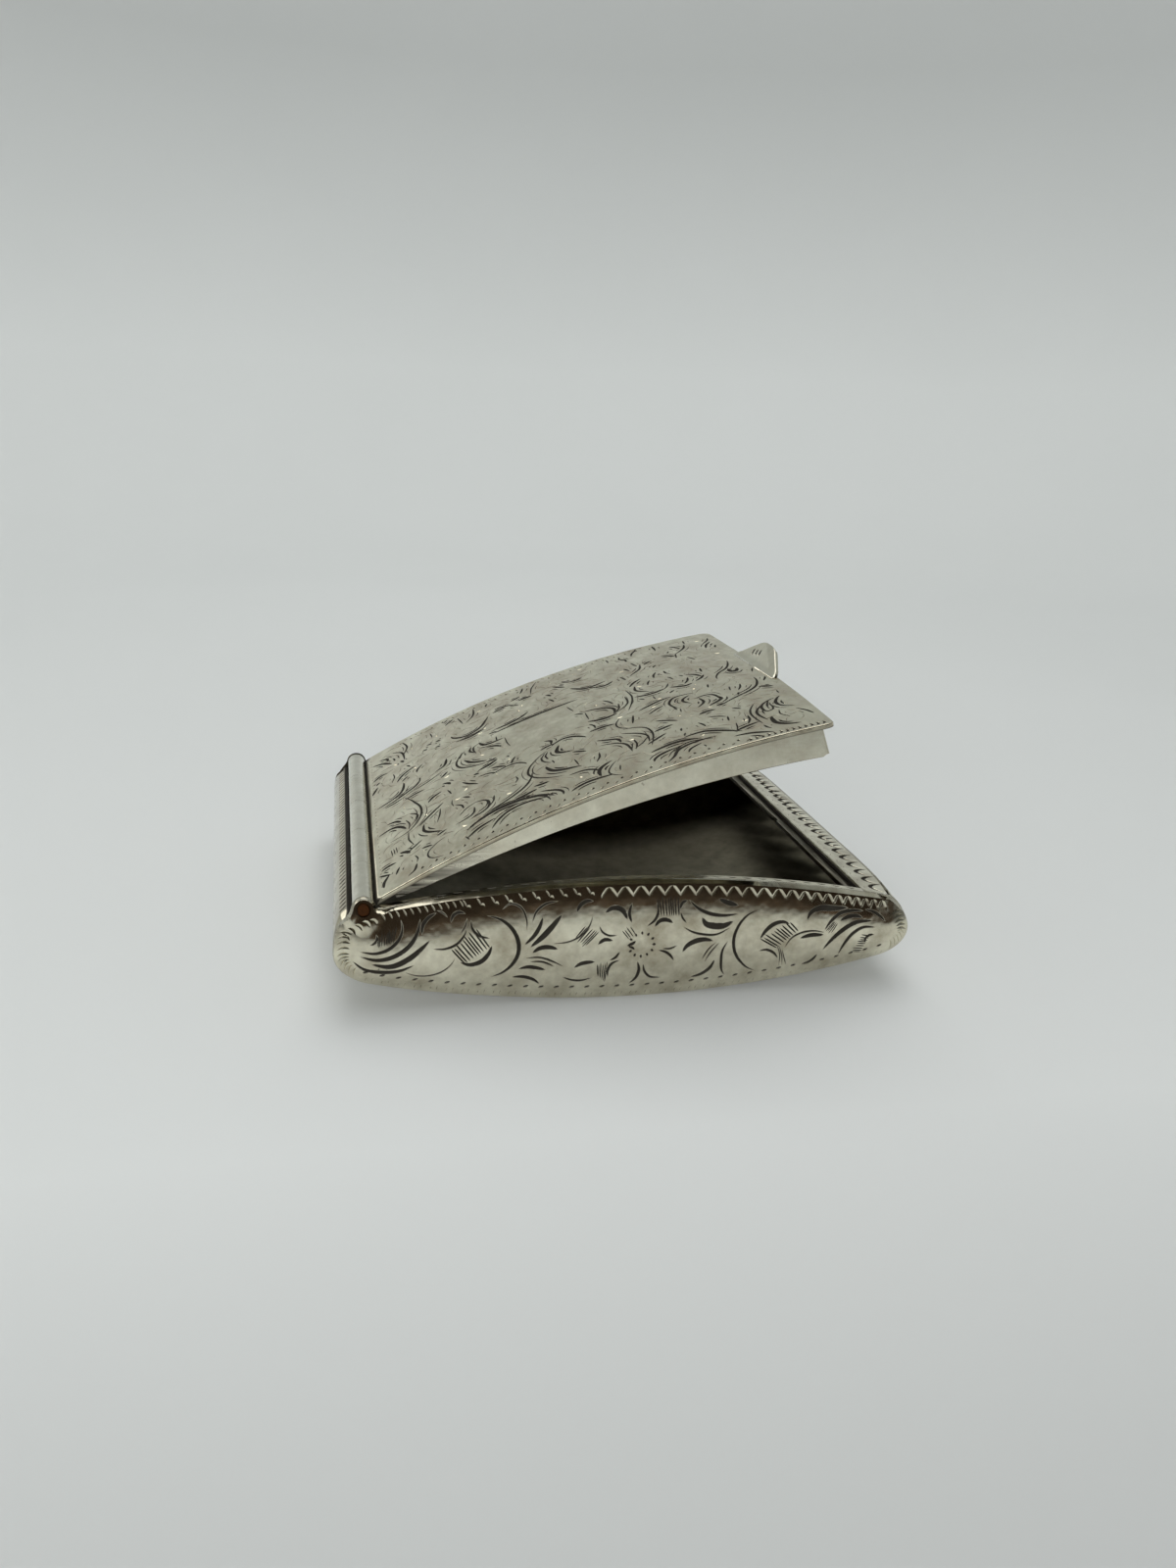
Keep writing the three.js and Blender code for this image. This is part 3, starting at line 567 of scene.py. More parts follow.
PANEL_CUTS = cuts_of([
    # hinge-end spray
    (0.40, (-36.2, 12.1), (-36.1, 11.4), (-36.5, 10.8), (-37.1, 10.6)),
    (0.50, (-38.4, 9.7), (-36.4, 9.45), (-34.4, 10.1), (-33.1, 11.4), (-32.7, 12.7), (-32.9, 13.9)),
    (0.65, (-38.4, 9.0), (-36.2, 8.5), (-33.8, 9.0), (-31.6, 10.6), (-30.6, 12.4), (-30.3, 14.0)),
    (0.80, (-36.9, 7.9), (-34.3, 7.55), (-31.8, 8.6), (-30.2, 9.9), (-29.0, 11.1)),
    (0.60, (-39.4, 8.3), (-38.0, 7.2), (-35.5, 6.7), (-33.0, 6.9), (-31.2, 7.6)),
    (0.30, (-32.4, 6.6), (-31.0, 5.95), (-29.2, 5.8), (-27.5, 6.3), (-26.2, 7.4), (-25.6, 8.4)),
    (0.55, (-30.1, 11.8), (-30.0, 13.0), (-29.3, 14.0), (-28.1, 14.7)),
    (0.28, (-28.1, 15.0), (-27.3, 14.7), (-26.6, 14.0)),
    # shell and scroll
    (0.40, (-28.6, 9.8), (-27.0, 9.75), (-25.4, 10.4), (-24.4, 11.6), (-24.0, 12.6)),
    (0.50, (-26.2, 13.3), (-25.9, 14.3), (-25.1, 14.75), (-24.2, 14.5)),
    (0.30, (-24.0, 14.0), (-24.2, 13.0), (-25.0, 11.7)),
    (0.70, (-25.0, 7.7), (-23.7, 7.2), (-22.1, 7.6), (-21.1, 8.7), (-20.6, 10.0)),
    (0.45, (-23.5, 13.7), (-23.3, 12.4), (-22.5, 11.5), (-20.9, 11.0)),
    (0.60, (-21.4, 14.2), (-19.6, 13.7), (-17.9, 12.3), (-17.0, 10.4), (-17.0, 8.4), (-17.9, 6.7),
     (-19.3, 5.5), (-20.7, 5.0)),
    (0.35, (-19.3, 14.9), (-18.0, 15.7), (-16.7, 15.2), (-15.9, 13.6), (-15.8, 11.8)),
    # leaves between scroll and flower
    (0.60, (-16.1, 9.8), (-14.8, 11.1), (-14.0, 12.5), (-13.6, 13.8)),
    (0.85, (-15.3, 9.4), (-13.3, 11.2), (-12.0, 12.7), (-10.9, 14.0)),
    (0.40, (-15.1, 13.0), (-14.5, 14.5), (-13.2, 15.5), (-11.4, 15.8)),
    (0.60, (-8.9, 14.1), (-8.4, 15.1), (-7.4, 15.7), (-6.5, 15.6)),
    (0.32, (-12.1, 9.8), (-10.0, 9.95), (-8.2, 10.8), (-7.1, 12.1), (-6.5, 14.0)),
    (0.70, (-15.0, 8.5), (-14.0, 9.2), (-12.7, 9.3), (-11.4, 8.9)),
    (0.35, (-15.9, 7.8), (-13.8, 7.75), (-12.2, 7.1), (-10.6, 6.2)),
    (0.35, (-15.3, 7.2), (-13.5, 7.05), (-11.8, 6.2)),
    (0.60, (-16.9, 6.1), (-15.5, 6.35), (-14.2, 6.1), (-13.0, 5.7)),
    (0.55, (-17.8, 4.8), (-16.1, 4.75), (-14.7, 4.2), (-13.7, 3.3)),
    (0.65, (-9.0, 5.8), (-8.1, 6.4), (-7.0, 6.6), (-6.0, 6.6)),
    (0.40, (-10.6, 4.4), (-9.2, 3.75), (-7.7, 3.6), (-6.3, 4.0)),
    # flower
    (0.75, (-4.9, 13.9), (-3.7, 14.6), (-2.5, 14.3), (-1.6, 12.8)),
    (0.35, (-5.7, 12.2), (-5.2, 11.2), (-4.2, 10.6), (-3.0, 10.6)),
    (0.50, (-1.0, 12.3), (-1.4, 13.7), (-1.0, 15.2)),
    (0.45, (1.2, 11.7), (2.4, 12.7), (2.8, 13.9), (2.5, 15.1)),
    (0.65, (2.3, 11.6), (3.1, 12.5), (4.2, 12.5), (5.0, 12.0)),
    (0.35, (3.6, 8.2), (4.8, 8.15), (5.8, 8.6)),
    (0.45, (3.0, 8.0), (4.2, 7.6), (5.0, 6.9), (5.5, 6.1)),
    (0.42, (0.95, 6.0), (1.3, 4.6), (2.2, 3.6), (3.8, 3.4)),
    (0.45, (-2.5, 6.7), (-3.6, 6.2), (-4.1, 5.1), (-4.0, 3.9)),
    (0.50, (0.1, 6.4), (0.45, 5.0), (0.1, 3.5), (-0.8, 2.5)),
    (0.60, (-5.8, 9.3), (-4.9, 10.0), (-3.6, 9.8)),
    (0.42, (-4.0, 6.7), (-3.2, 7.1), (-2.5, 8.1)),
    (0.50, (-1.5, 9.0), (-0.8, 9.2), (-0.3, 9.6)),
    (0.40, (-1.4, 8.8), (-0.8, 8.6), (-0.4, 8.2)),
    # leaves between flower and catch-end scroll
    (0.50, (5.9, 13.9), (6.3, 14.9), (7.1, 15.2)),
    (0.35, (6.0, 13.7), (6.3, 12.8), (7.0, 11.9)),
    (0.55, (7.2, 15.3), (8.6, 14.0), (10.2, 13.2), (12.2, 12.8), (14.6, 12.9)),
    (1.00, (9.2, 12.7), (9.8, 11.7), (11.1, 11.3), (12.6, 11.3), (13.9, 11.9)),
    (0.40, (6.5, 11.4), (7.8, 10.6), (9.5, 10.1), (11.5, 10.0), (13.4, 10.9)),
    (0.75, (11.6, 15.2), (13.0, 14.6), (14.6, 14.1)),
    (0.80, (6.6, 7.4), (7.2, 8.4), (8.4, 9.1), (9.8, 9.3), (11.1, 9.0)),
    (0.30, (9.6, 6.0), (10.4, 7.6), (11.5, 8.8)),
    (0.30, (10.1, 5.7), (10.9, 7.3), (12.0, 8.7)),
    (0.60, (8.3, 3.1), (9.9, 3.6), (11.1, 4.7), (11.6, 6.0)),
    (0.45, (13.3, 8.9), (12.6, 7.4), (12.6, 5.6), (12.9, 4.0), (13.5, 3.0)),
    # catch-end scroll and shell
    (0.50, (17.9, 13.4), (16.2, 12.8), (14.8, 11.3), (14.15, 9.3), (14.4, 7.3), (15.5, 5.4), (16.9, 4.1),
     (18.2, 3.5)),
    (0.65, (18.1, 8.9), (18.9, 10.2), (20.2, 11.2), (21.5, 11.4), (22.5, 11.0)),
    (0.45, (18.1, 7.0), (19.2, 7.15), (20.4, 6.6), (21.3, 5.5)),
    (0.25, (20.6, 8.2), (21.4, 6.4), (21.7, 4.0)),
    (0.25, (21.1, 7.8), (21.8, 6.0), (22.2, 4.0)),
    (0.25, (21.6, 7.3), (22.2, 5.6), (22.9, 4.0)),
    (0.35, (22.0, 7.3), (22.9, 8.8), (24.4, 9.6), (26.2, 9.8), (27.9, 9.5)),
    (0.65, (24.2, 8.7), (25.5, 9.1), (27.9, 9.1)),
    (0.55, (25.2, 4.1), (26.5, 4.6), (27.4, 5.9)),
    (0.90, (25.1, 11.4), (25.6, 12.5), (27.0, 13.1), (29.0, 13.0), (31.5, 12.9)),
    # catch-end spray
    (0.60, (27.9, 9.8), (28.9, 11.2), (30.2, 12.2), (32.2, 12.5), (34.0, 12.3)),
    (0.65, (30.2, 11.1), (31.4, 11.6), (32.8, 11.7), (33.9, 11.3)),
    (0.70, (28.0, 6.5), (29.0, 8.0), (30.6, 9.6), (32.6, 10.7), (35.6, 10.8)),
    (0.55, (30.7, 5.4), (31.2, 7.2), (32.2, 8.9), (33.8, 9.9), (36.0, 9.8)),
    (0.50, (34.7, 7.2), (34.5, 8.0), (35.0, 8.6), (35.9, 8.7)),
    (0.50, (34.2, 12.5), (35.5, 12.1), (36.8, 11.3), (37.7, 10.4)),
])
for row in (
    (9, (-36.0, 11.9), (-33.5, 12.9), (-35.9, 10.2), (-34.0, 10.7), 0.2),
    (10, (-26.2, 9.7), (-23.0, 12.7), (-24.2, 7.3), (-20.9, 9.6), 0.25),
    (7, (-9.1, 10.3), (-7.7, 9.0), (-7.6, 12.2), (-5.6, 11.3), 0.2),
    (6, (-5.7, 6.3), (-4.3, 6.4), (-5.5, 4.2), (-4.4, 3.0), 0.16),
    (4, (-2.4, 11.3), (-1.3, 11.9), (-1.3, 9.9), (-0.3, 10.4), 0.16),
    (9, (2.6, 15.8), (5.6, 15.8), (2.95, 13.1), (5.8, 13.0), 0.22),
    (10, (18.1, 9.0), (22.3, 11.5), (20.9, 7.3), (23.9, 9.8), 0.25),
    (4, (28.1, 9.6), (28.9, 9.2), (29.4, 11.2), (29.9, 10.8), 0.16),
    (9, (32.6, 5.9), (33.8, 8.8), (34.4, 5.7), (35.2, 8.5), 0.2),
):
    PANEL_CUTS += hatch(*row)
FLOWER_EYE = (0.55, 8.95)
for turn in np.linspace(0, 2 * np.pi, 13)[:-1]:
    away = np.array([np.cos(turn), np.sin(turn)])
    PANEL_CUTS.append(Cut(0.42, FLOWER_EYE + away * 1.5, FLOWER_EYE + away * 2.1, lean=0.5))

# zigzag along the upper edge, and on towards the hinge a row of slanting ticks
x, pitch = -5.4, 2.28
while x < 36.5:
    peak = (x + pitch / 2, float(top_z(x + pitch / 2)) - 0.75)
    for foot_x in (x, x + pitch):
        foot = (foot_x, float(top_z(foot_x)) - 2.25)
        ends = (foot, peak) if foot_x < peak[0] else (peak, foot)
        PANEL_CUTS.append(Cut(0.46, *ends, lean=0.75, blunt=0.15, soot=0.15))
    x, pitch = x + pitch, pitch if x < 17 else max(pitch * 0.94, 1.4)
for x in np.concatenate([np.arange(-35.2, -24.5, 0.95), np.arange(-24.3, -6.0, 1.9)]):
    edge_z = float(top_z(x))
    PANEL_CUTS.append(Cut(0.28, (x - 0.3, edge_z - 0.6), (x + 0.25, edge_z - 1.55),
                          lean=0.7, blunt=0.5, soot=0.6))
    if x > -24.5:
        PANEL_CUTS.append(Cut(0.56, (x + 0.2, edge_z - 1.6), (x + 0.85, edge_z - 1.7), lean=0.8, soot=0))
# dots and pairs of ticks along the belly, curls round both ends, and five strokes under the ear
for x in np.arange(-37.6, 37.6, 2.2):
    foot = float(belly_z(min(abs(x), BELLY_END)))
    PANEL_CUTS.append(Cut(0.42, (x - 0.5, foot + 2.15), (x + 0.4, foot + 2.4), lean=0.5, blunt=0.5))
    PANEL_CUTS.append(Cut(0.24, (x + 0.7, foot + 0.5), (x + 0.9, foot + 1.3), lean=0.5, soot=0.4))
    PANEL_CUTS.append(Cut(0.24, (x - 0.2, foot + 0.5), (x, foot + 1.3), lean=0.5, soot=0.4))
for end, step in ((hinge_nose, -1), (catch_nose, 1)):
    run = np.concatenate([[0], np.cumsum(np.hypot(*np.diff(end, axis=0).T))])
    for s in np.arange(2.2, run[-1] - 2.6, 0.9):
        here = np.array([np.interp(s, run, end[:, 0]), np.interp(s, run, end[:, 1])])
        ahead = np.array([np.interp(s + 0.3, run, end[:, 0]), np.interp(s + 0.3, run, end[:, 1])])
        way = (ahead - here) / np.hypot(*(ahead - here))
        into = np.array([-way[1], way[0]]) * step
        PANEL_CUTS.append(Cut(0.44, here + into * 0.5, here + into * 1.3 + way * 0.55,
                              here + into * 2.3 + way * 0.5, lean=0.6, soot=0.1))
for x, z in ((-40.3, 11.7), (-39.5, 12.5), (-38.6, 13.05), (-37.6, 13.45), (-36.6, 13.65)):
    PANEL_CUTS.append(Cut(0.5, (x - 0.4, z + 0.4), (x + 0.2, z + 0.15), (x + 0.6, z - 0.5),
                          lean=0.75, blunt=0.4, soot=0.1))


def panel_edge(uv):
    """The upper edge and the ear are filed broad, the ends and the lower edge hardly."""
    lowest = np.where(uv[:, 0] > 0, 11.6, 13.9)
    broad = np.where(np.hypot(uv[:, 0] - HINGE_X, uv[:, 1] - HINGE_Z) < 2.3, 0.1, 0.32)
    return 0.2 + broad * np.clip((uv[:, 1] - lowest) / 0.6, 0, 1)


def panel_filing(uv, out, fall):
    """How far and which way the filed edge leans: outwards, and most at the ends and the ear's sides."""
    return 0.8 + 0.4 * np.abs(out[:, 0]) + 0.2 * fall, out


for name, lie, way in (("front_panel", on_front_panel, 1), ("back_panel", on_back_panel, -1)):
    plan = panel_plan if way > 0 else panel_plan[::-1] * (-1, 1)
    if way < 0:
        for cut in PANEL_CUTS:
            cut.mirror()

    def panel_back(uv, way=way, lie=lie):
        face = lie(uv)
        inner = np.minimum(PANEL_BACK, np.abs(face[:, 1]) - PANEL_THINNEST)
        return np.column_stack([face[:, 0], -way * inner, uv[:, 1]])

    # Their edge walls are darkened a little towards the back: painted shade.
    panel = engraved_sheet("silver_" + name, plan, PANEL_CUTS, lie, PANEL_GRAIN, [ENGRAVED, DARK_INSIDE],
                           back=panel_back, holes=[(HINGE_X * way, HINGE_Z, BORE)],
                           edge=lambda uv, way=way: panel_edge(uv * (way, 1)), shade_behind=0.15,
                           filed=panel_filing)
    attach(panel, "case_body")
    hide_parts(name)

# Rims: narrow silver strips soldered round the mouth, level with the panels' edges. The side rims
# carry a row of short dashes, the wider rim at the catch end a row of C-shaped cuts.
MOUTH_HALF = 32.0
RIM_DEPTH = 1.0
RIM_UNDERCUT = 0.6
STRIP_STEP = 1.4


def on_top(uv):
    return np.column_stack([uv[:, 0], uv[:, 1], top_z(uv[:, 0])])


def strip_plan(x_from, x_to, y_from, y_to):
    """A rectangle in plan with points along its long sides, anticlockwise."""
    count = max(int((x_to - x_from) / STRIP_STEP), 1)
    run = np.linspace(x_from, x_to, count + 1)
    return [(x, y_from) for x in run] + [(x, y_to) for x in run[::-1]]


for name, side in (("front_rim", -1), ("back_rim", 1)):
    cuts = [Cut(0.36, (x, side * 32.35), (x + 0.7, side * 32.6), (x + 1.5, side * 32.5), lean=0.4)
            for x in np.arange(MOUTH_START + 3.2, MOUTH_END - 0.8, 2.3)]
    plan = strip_plan(MOUTH_START, MOUTH_END, *sorted((side * PANEL_BACK, side * MOUTH_HALF)))
    # The rims' edge walls darken fully towards the back, and their backs too: painted shade.
    rim = engraved_sheet("silver_" + name, plan, cuts, on_top, 0.7, [ENGRAVED], thickness=RIM_DEPTH, edge=0.1)
    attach(rim, "case_body")
    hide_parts(name)


def on_end_rim(uv):
    return swollen(on_top(uv))


def end_rim_back(uv):
    x = uv[:, 0] - RIM_UNDERCUT * np.clip((uv[:, 0] - 36.8) / 1.5, 0, 1)
    return swollen(np.column_stack([x, uv[:, 1], top_z(x) - RIM_DEPTH]))


cuts = [Cut(0.75, (38.15, y + 1.6), (36.9, y + 1.2), (36.15, y), (36.7, y - 0.9), (37.7, y - 1.2), lean=0.65)
        for y in np.concatenate([np.arange(-31.0, -1, 2.9), np.arange(1.0, 31.8, 2.3)])]
cuts += [Cut(0.5, (38.1, y + 0.6), (37.3, y + 0.3), (36.9, y - 0.3)) for y in np.arange(-14.0, 28.0, 3.0)]
cuts += [Cut(0.16, (35.0, y), (35.3, y + 1.1)) for y in np.arange(-32, 32, 2.6)]
end_plan = strip_plan(-PANEL_BACK, PANEL_BACK, -RIM_BRINK, -MOUTH_END)
# The end rim's edge walls darken fully towards the back, and its back too: painted shade.
rim = engraved_sheet("silver_end_rim", [(-y, x) for x, y in end_plan], cuts, on_end_rim, 0.9,
                     [ENGRAVED], back=end_rim_back, edge=0.12)
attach(rim, "case_body")
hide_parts("end_rim")

# Ledges: plain strips a step below the rims, which carry the shut lid. The one at the catch end has
# a small nick filed in the middle of its inner edge.
LEDGE_TOP, LEDGE_SHEET = 1.1, 0.65
LEDGE_HALF, LEDGE_END, CATCH_LEDGE_END = 30.9, 33.0, 37.6
NICK_HALF, NICK_DEPTH = 0.8, 0.5
DULL = silver("dull silver", (0.46, 0.44, 0.36, 1), (0.2, 0.17, 0.12, 1), 0.8, 0.3, 0.8)


def maths(tree, operation, a, b):
    return add(tree, "ShaderNodeMath", {0: a, 1: b}, operation=operation).outputs[0]


def bowed_strip_tree():
    """A strip that follows the bowed top: a straight line bent to the arc and swept with a soft-edged bar."""
    tree = bpy.data.node_groups.new("bowed strip", "GeometryNodeTree")
    tree.interface.new_socket("Geometry", in_out="OUTPUT", socket_type="NodeSocketGeometry")
    for name in ("Start", "End", "Depth", "Sheet", "Near", "Far", "Soften"):
        tree.interface.new_socket(name, in_out="INPUT", socket_type="NodeSocketFloat")
    tree.interface.new_socket("Finish", in_out="INPUT", socket_type="NodeSocketMaterial")
    given = add(tree, "NodeGroupInput").outputs
    start = add(tree, "ShaderNodeCombineXYZ", {"X": given["Start"]})
    end = add(tree, "ShaderNodeCombineXYZ", {"X": given["End"]})
    line = add(tree, "GeometryNodeCurvePrimitiveLine", {"Start": start.outputs[0], "End": end.outputs[0]})
    fine = add(tree, "GeometryNodeResampleCurve", {"Curve": line.outputs[0], "Count": 48})
    x = add(tree, "ShaderNodeSeparateXYZ", {0: add(tree, "GeometryNodeInputPosition").outputs[0]}).outputs[0]
    off = maths(tree, "SUBTRACT", x, TOP_CENTRE * MM)
    fall = maths(tree, "SUBTRACT", (TOP_RADIUS * MM) ** 2, maths(tree, "MULTIPLY", off, off))
    crown = maths(tree, "ADD", maths(tree, "SQRT", fall, 0), (HEIGHT - TOP_RADIUS) * MM)
    sunk = maths(tree, "SUBTRACT", crown, maths(tree, "MULTIPLY", given["Sheet"], 0.5))
    level = maths(tree, "SUBTRACT", sunk, given["Depth"])
    middle = maths(tree, "MULTIPLY", maths(tree, "ADD", given["Near"], given["Far"]), 0.5)
    there = add(tree, "ShaderNodeCombineXYZ", {"X": x, "Y": middle, "Z": level})
    bent = add(tree, "GeometryNodeSetPosition", {"Geometry": fine.outputs[0], "Position": there.outputs[0]})
    upright = add(tree, "GeometryNodeSetCurveNormal", {"Curve": bent.outputs[0]}, mode="Z_UP")
    bar = add(tree, "GeometryNodeCurvePrimitiveQuadrilateral", {
        "Width": maths(tree, "SUBTRACT", given["Far"], given["Near"]), "Height": given["Sheet"]})
    soft = add(tree, "GeometryNodeFilletCurve", {"Curve": bar.outputs[0], "Radius": given["Soften"],
                                                 "Count": 3}, mode="POLY")
    swept = add(tree, "GeometryNodeCurveToMesh", {"Curve": upright.outputs[0],
                                                  "Profile Curve": soft.outputs[0], "Fill Caps": True})
    whole = add(tree, "GeometryNodeRealizeInstances", {"Geometry": swept.outputs[0]})
    done = add(tree, "GeometryNodeSetMaterial", {"Geometry": whole.outputs[0], "Material": given["Finish"]})
    add(tree, "NodeGroupOutput", {"Geometry": done.outputs[0]})
    return tree


def grown(name, tree, values, sharp=math.radians(40)):
    """A plain mesh piece baked from a tree, with the tree's named inputs set; lengths in millimetres."""
    holder = bpy.data.objects.new(name, bpy.data.meshes.new(name))
    bpy.context.scene.collection.objects.link(holder)
    grower = holder.modifiers.new("grower", "NODES")
    grower.node_group = tree
    for item in tree.interface.items_tree:
        if item.in_out == "INPUT":
            value = values[item.name]
            grower[item.identifier] = value * MM if isinstance(value, float) else value
    baked = bpy.data.meshes.new_from_object(holder.evaluated_get(bpy.context.evaluated_depsgraph_get()))
    holder.modifiers.clear()
    holder.data = baked
    baked.polygons.foreach_set("use_smooth", [True] * len(baked.polygons))
    baked.set_sharp_from_angle(angle=sharp)
    return holder


BOWED_STRIP = bowed_strip_tree()
for name, near, far in (("front_ledge", -PANEL_BACK, -LEDGE_HALF), ("back_ledge", LEDGE_HALF, PANEL_BACK)):
    ledge = grown("silver_" + name, BOWED_STRIP, {
        "Start": MOUTH_START, "End": LEDGE_END - 0.1, "Depth": LEDGE_TOP, "Sheet": LEDGE_SHEET,
        "Near": near, "Far": far, "Soften": 0.12, "Finish": DULL})
    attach(ledge, "case_body")
    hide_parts(name)


def on_ledge(uv):
    return on_top(uv) - (0, 0, LEDGE_TOP)


nicked = [(LEDGE_END, -PANEL_BACK), (CATCH_LEDGE_END, -PANEL_BACK), (CATCH_LEDGE_END, PANEL_BACK),
          (LEDGE_END, PANEL_BACK), (LEDGE_END, NICK_HALF), (LEDGE_END + NICK_DEPTH, NICK_HALF),
          (LEDGE_END + NICK_DEPTH, -NICK_HALF), (LEDGE_END, -NICK_HALF)]
cuts = [Cut(0.12, (33.7, y), (33.85, y + 6)) for y in np.arange(-30, 24, 9.0)]
ledge = engraved_sheet("silver_end_ledge", nicked, cuts, on_ledge, 1.6, [DULL], thickness=LEDGE_SHEET,
                       edge=0.08)
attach(ledge, "case_body")
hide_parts("end_ledge")

# Hinge bearer: a drawn silver strip with a groove along it, soldered across the hinge end under the
# barrel, which it cradles.
KNUCKLE_RADIUS = 1.5
GROOVE_RADIUS = KNUCKLE_RADIUS + 0.3
BEARER_FLOOR, BEARER_FOOT = 12.7, 2.2
SOFTENED = 0.1


def shrunk(outline, distance):
    """The outline moved inwards, for an outline that runs anticlockwise."""
    outline = np.array(outline, float)
    before, after = outline - np.roll(outline, 1, axis=0), np.roll(outline, -1, axis=0) - outline
    before /= np.hypot(*before.T)[:, None]
    after /= np.hypot(*after.T)[:, None]
    bisect = np.column_stack([-(before + after)[:, 1], (before + after)[:, 0]])
    bisect /= np.maximum((bisect * bisect).sum(1) / 2, 0.4)[:, None]
    return outline + bisect * distance


def pulled(name, outline, y_from, y_to, material, hang=None):
    """A bar with an XZ outline, pulled along Y, its end edges softened."""
    full, small = np.array(outline, float), shrunk(outline, SOFTENED)
    rings = [(small, y_from), (full, y_from + SOFTENED), (full, y_to - SOFTENED), (small, y_to)]
    points = np.vstack([np.column_stack([o[:, 0], np.full(len(o), y), o[:, 1]]) for o, y in rings])
    n = len(full)
    faces = [tuple(range(n)), tuple(range(len(points) - 1, len(points) - 1 - n, -1))]
    for ring in range(len(rings) - 1):
        for k in range(n):
            a, b = ring * n + k, ring * n + (k + 1) % n
            faces.append((b, a, a + n, b + n))
    piece = mesh_object(name, hang(points) if hang else points, faces, material)
    piece.data.polygons.foreach_set("use_smooth", [True] * len(faces))
    piece.data.set_sharp_from_angle(angle=math.radians(35))
    return piece


groove_turn = np.linspace(1.27 * np.pi, 1.78 * np.pi, 25)
groove = [(HINGE_X + GROOVE_RADIUS * math.cos(a), HINGE_Z + GROOVE_RADIUS * math.sin(a)) for a in groove_turn]
bearer_foot = [(MOUTH_START, BEARER_FLOOR), (HINGE_X - BEARER_FOOT, BEARER_FLOOR)]
# The bearer takes the darker inside silver: painted shade in the groove under the barrel.
bearer = pulled("silver_hinge_bearer", (groove + bearer_foot)[::-1], -PANEL_BACK, PANEL_BACK, DARK_INSIDE)
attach(bearer, "case_body")
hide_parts("hinge_bearer")

# Barrel: five short tubes of drawn silver on one line, three soldered to the body and, between
# them, two soldered to the lid.
BORE_RADIUS, TUBE_PITCH, TUBE_GAP = 0.9, 13.3, 0.05
BARREL = silver("barrel silver", (0.76, 0.745, 0.64, 1), (0.5, 0.46, 0.35, 1), 0.4, 0.16, 0.3)


def hinge_tubes_tree():
    """A row of tubes: a soft-cornered bar swept round a circle, then set out along the hinge line."""
    tree = bpy.data.node_groups.new("hinge tubes", "GeometryNodeTree")
    tree.interface.new_socket("Geometry", in_out="OUTPUT", socket_type="NodeSocketGeometry")
    tree.interface.new_socket("Count", in_out="INPUT", socket_type="NodeSocketInt")
    for name in ("First", "Pitch", "Length", "Radius", "Bore", "Soften"):
        tree.interface.new_socket(name, in_out="INPUT", socket_type="NodeSocketFloat")
    tree.interface.new_socket("Finish", in_out="INPUT", socket_type="NodeSocketMaterial")
    given = add(tree, "NodeGroupInput").outputs
    middle = maths(tree, "MULTIPLY", maths(tree, "ADD", given["Radius"], given["Bore"]), 0.5)
    circle = add(tree, "GeometryNodeCurvePrimitiveCircle", {"Resolution": 48, "Radius": middle},
                 mode="RADIUS")
    bar = add(tree, "GeometryNodeCurvePrimitiveQuadrilateral", {
        "Width": maths(tree, "SUBTRACT", given["Radius"], given["Bore"]), "Height": given["Length"]})
    soft = add(tree, "GeometryNodeFilletCurve", {"Curve": bar.outputs[0], "Radius": given["Soften"],
                                                 "Count": 3}, mode="POLY")
    tube = add(tree, "GeometryNodeCurveToMesh", {"Curve": circle.outputs[0],
                                                 "Profile Curve": soft.outputs[0]})
    lying = add(tree, "GeometryNodeTransform", {"Geometry": tube.outputs[0],
                                                "Rotation": (math.pi / 2, 0, 0)})
    first = add(tree, "ShaderNodeCombineXYZ", {"X": HINGE_X * MM, "Y": given["First"], "Z": HINGE_Z * MM})
    apart = add(tree, "ShaderNodeCombineXYZ", {"Y": given["Pitch"]})
    row = add(tree, "GeometryNodeMeshLine", {"Count": given["Count"], "Start Location": first.outputs[0],
                                             "Offset": apart.outputs[0]})
    set_out = add(tree, "GeometryNodeInstanceOnPoints", {"Points": row.outputs[0],
                                                         "Instance": lying.outputs[0]})
    whole = add(tree, "GeometryNodeRealizeInstances", {"Geometry": set_out.outputs[0]})
    done = add(tree, "GeometryNodeSetMaterial", {"Geometry": whole.outputs[0], "Material": given["Finish"]})
    add(tree, "NodeGroupOutput", {"Geometry": done.outputs[0]})
    return tree


HINGE_TUBES = hinge_tubes_tree()
for name, body, count, nodes in (
    ("body_knuckles", "case_body", 3, ("body_knuckle_front", "body_knuckle_middle", "body_knuckle_back")),
    ("lid_knuckles", "lid", 2, ("lid_knuckle_front", "lid_knuckle_back")),
):
    tubes = grown("silver_" + name, HINGE_TUBES, {
        "Count": count, "First": -TUBE_PITCH * (count - 1), "Pitch": 2 * TUBE_PITCH,
        "Length": TUBE_PITCH - TUBE_GAP, "Radius": KNUCKLE_RADIUS, "Bore": BORE_RADIUS,
        "Soften": 0.04, "Finish": BARREL}, math.radians(10))
    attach(tubes, body)
    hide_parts(*nodes)

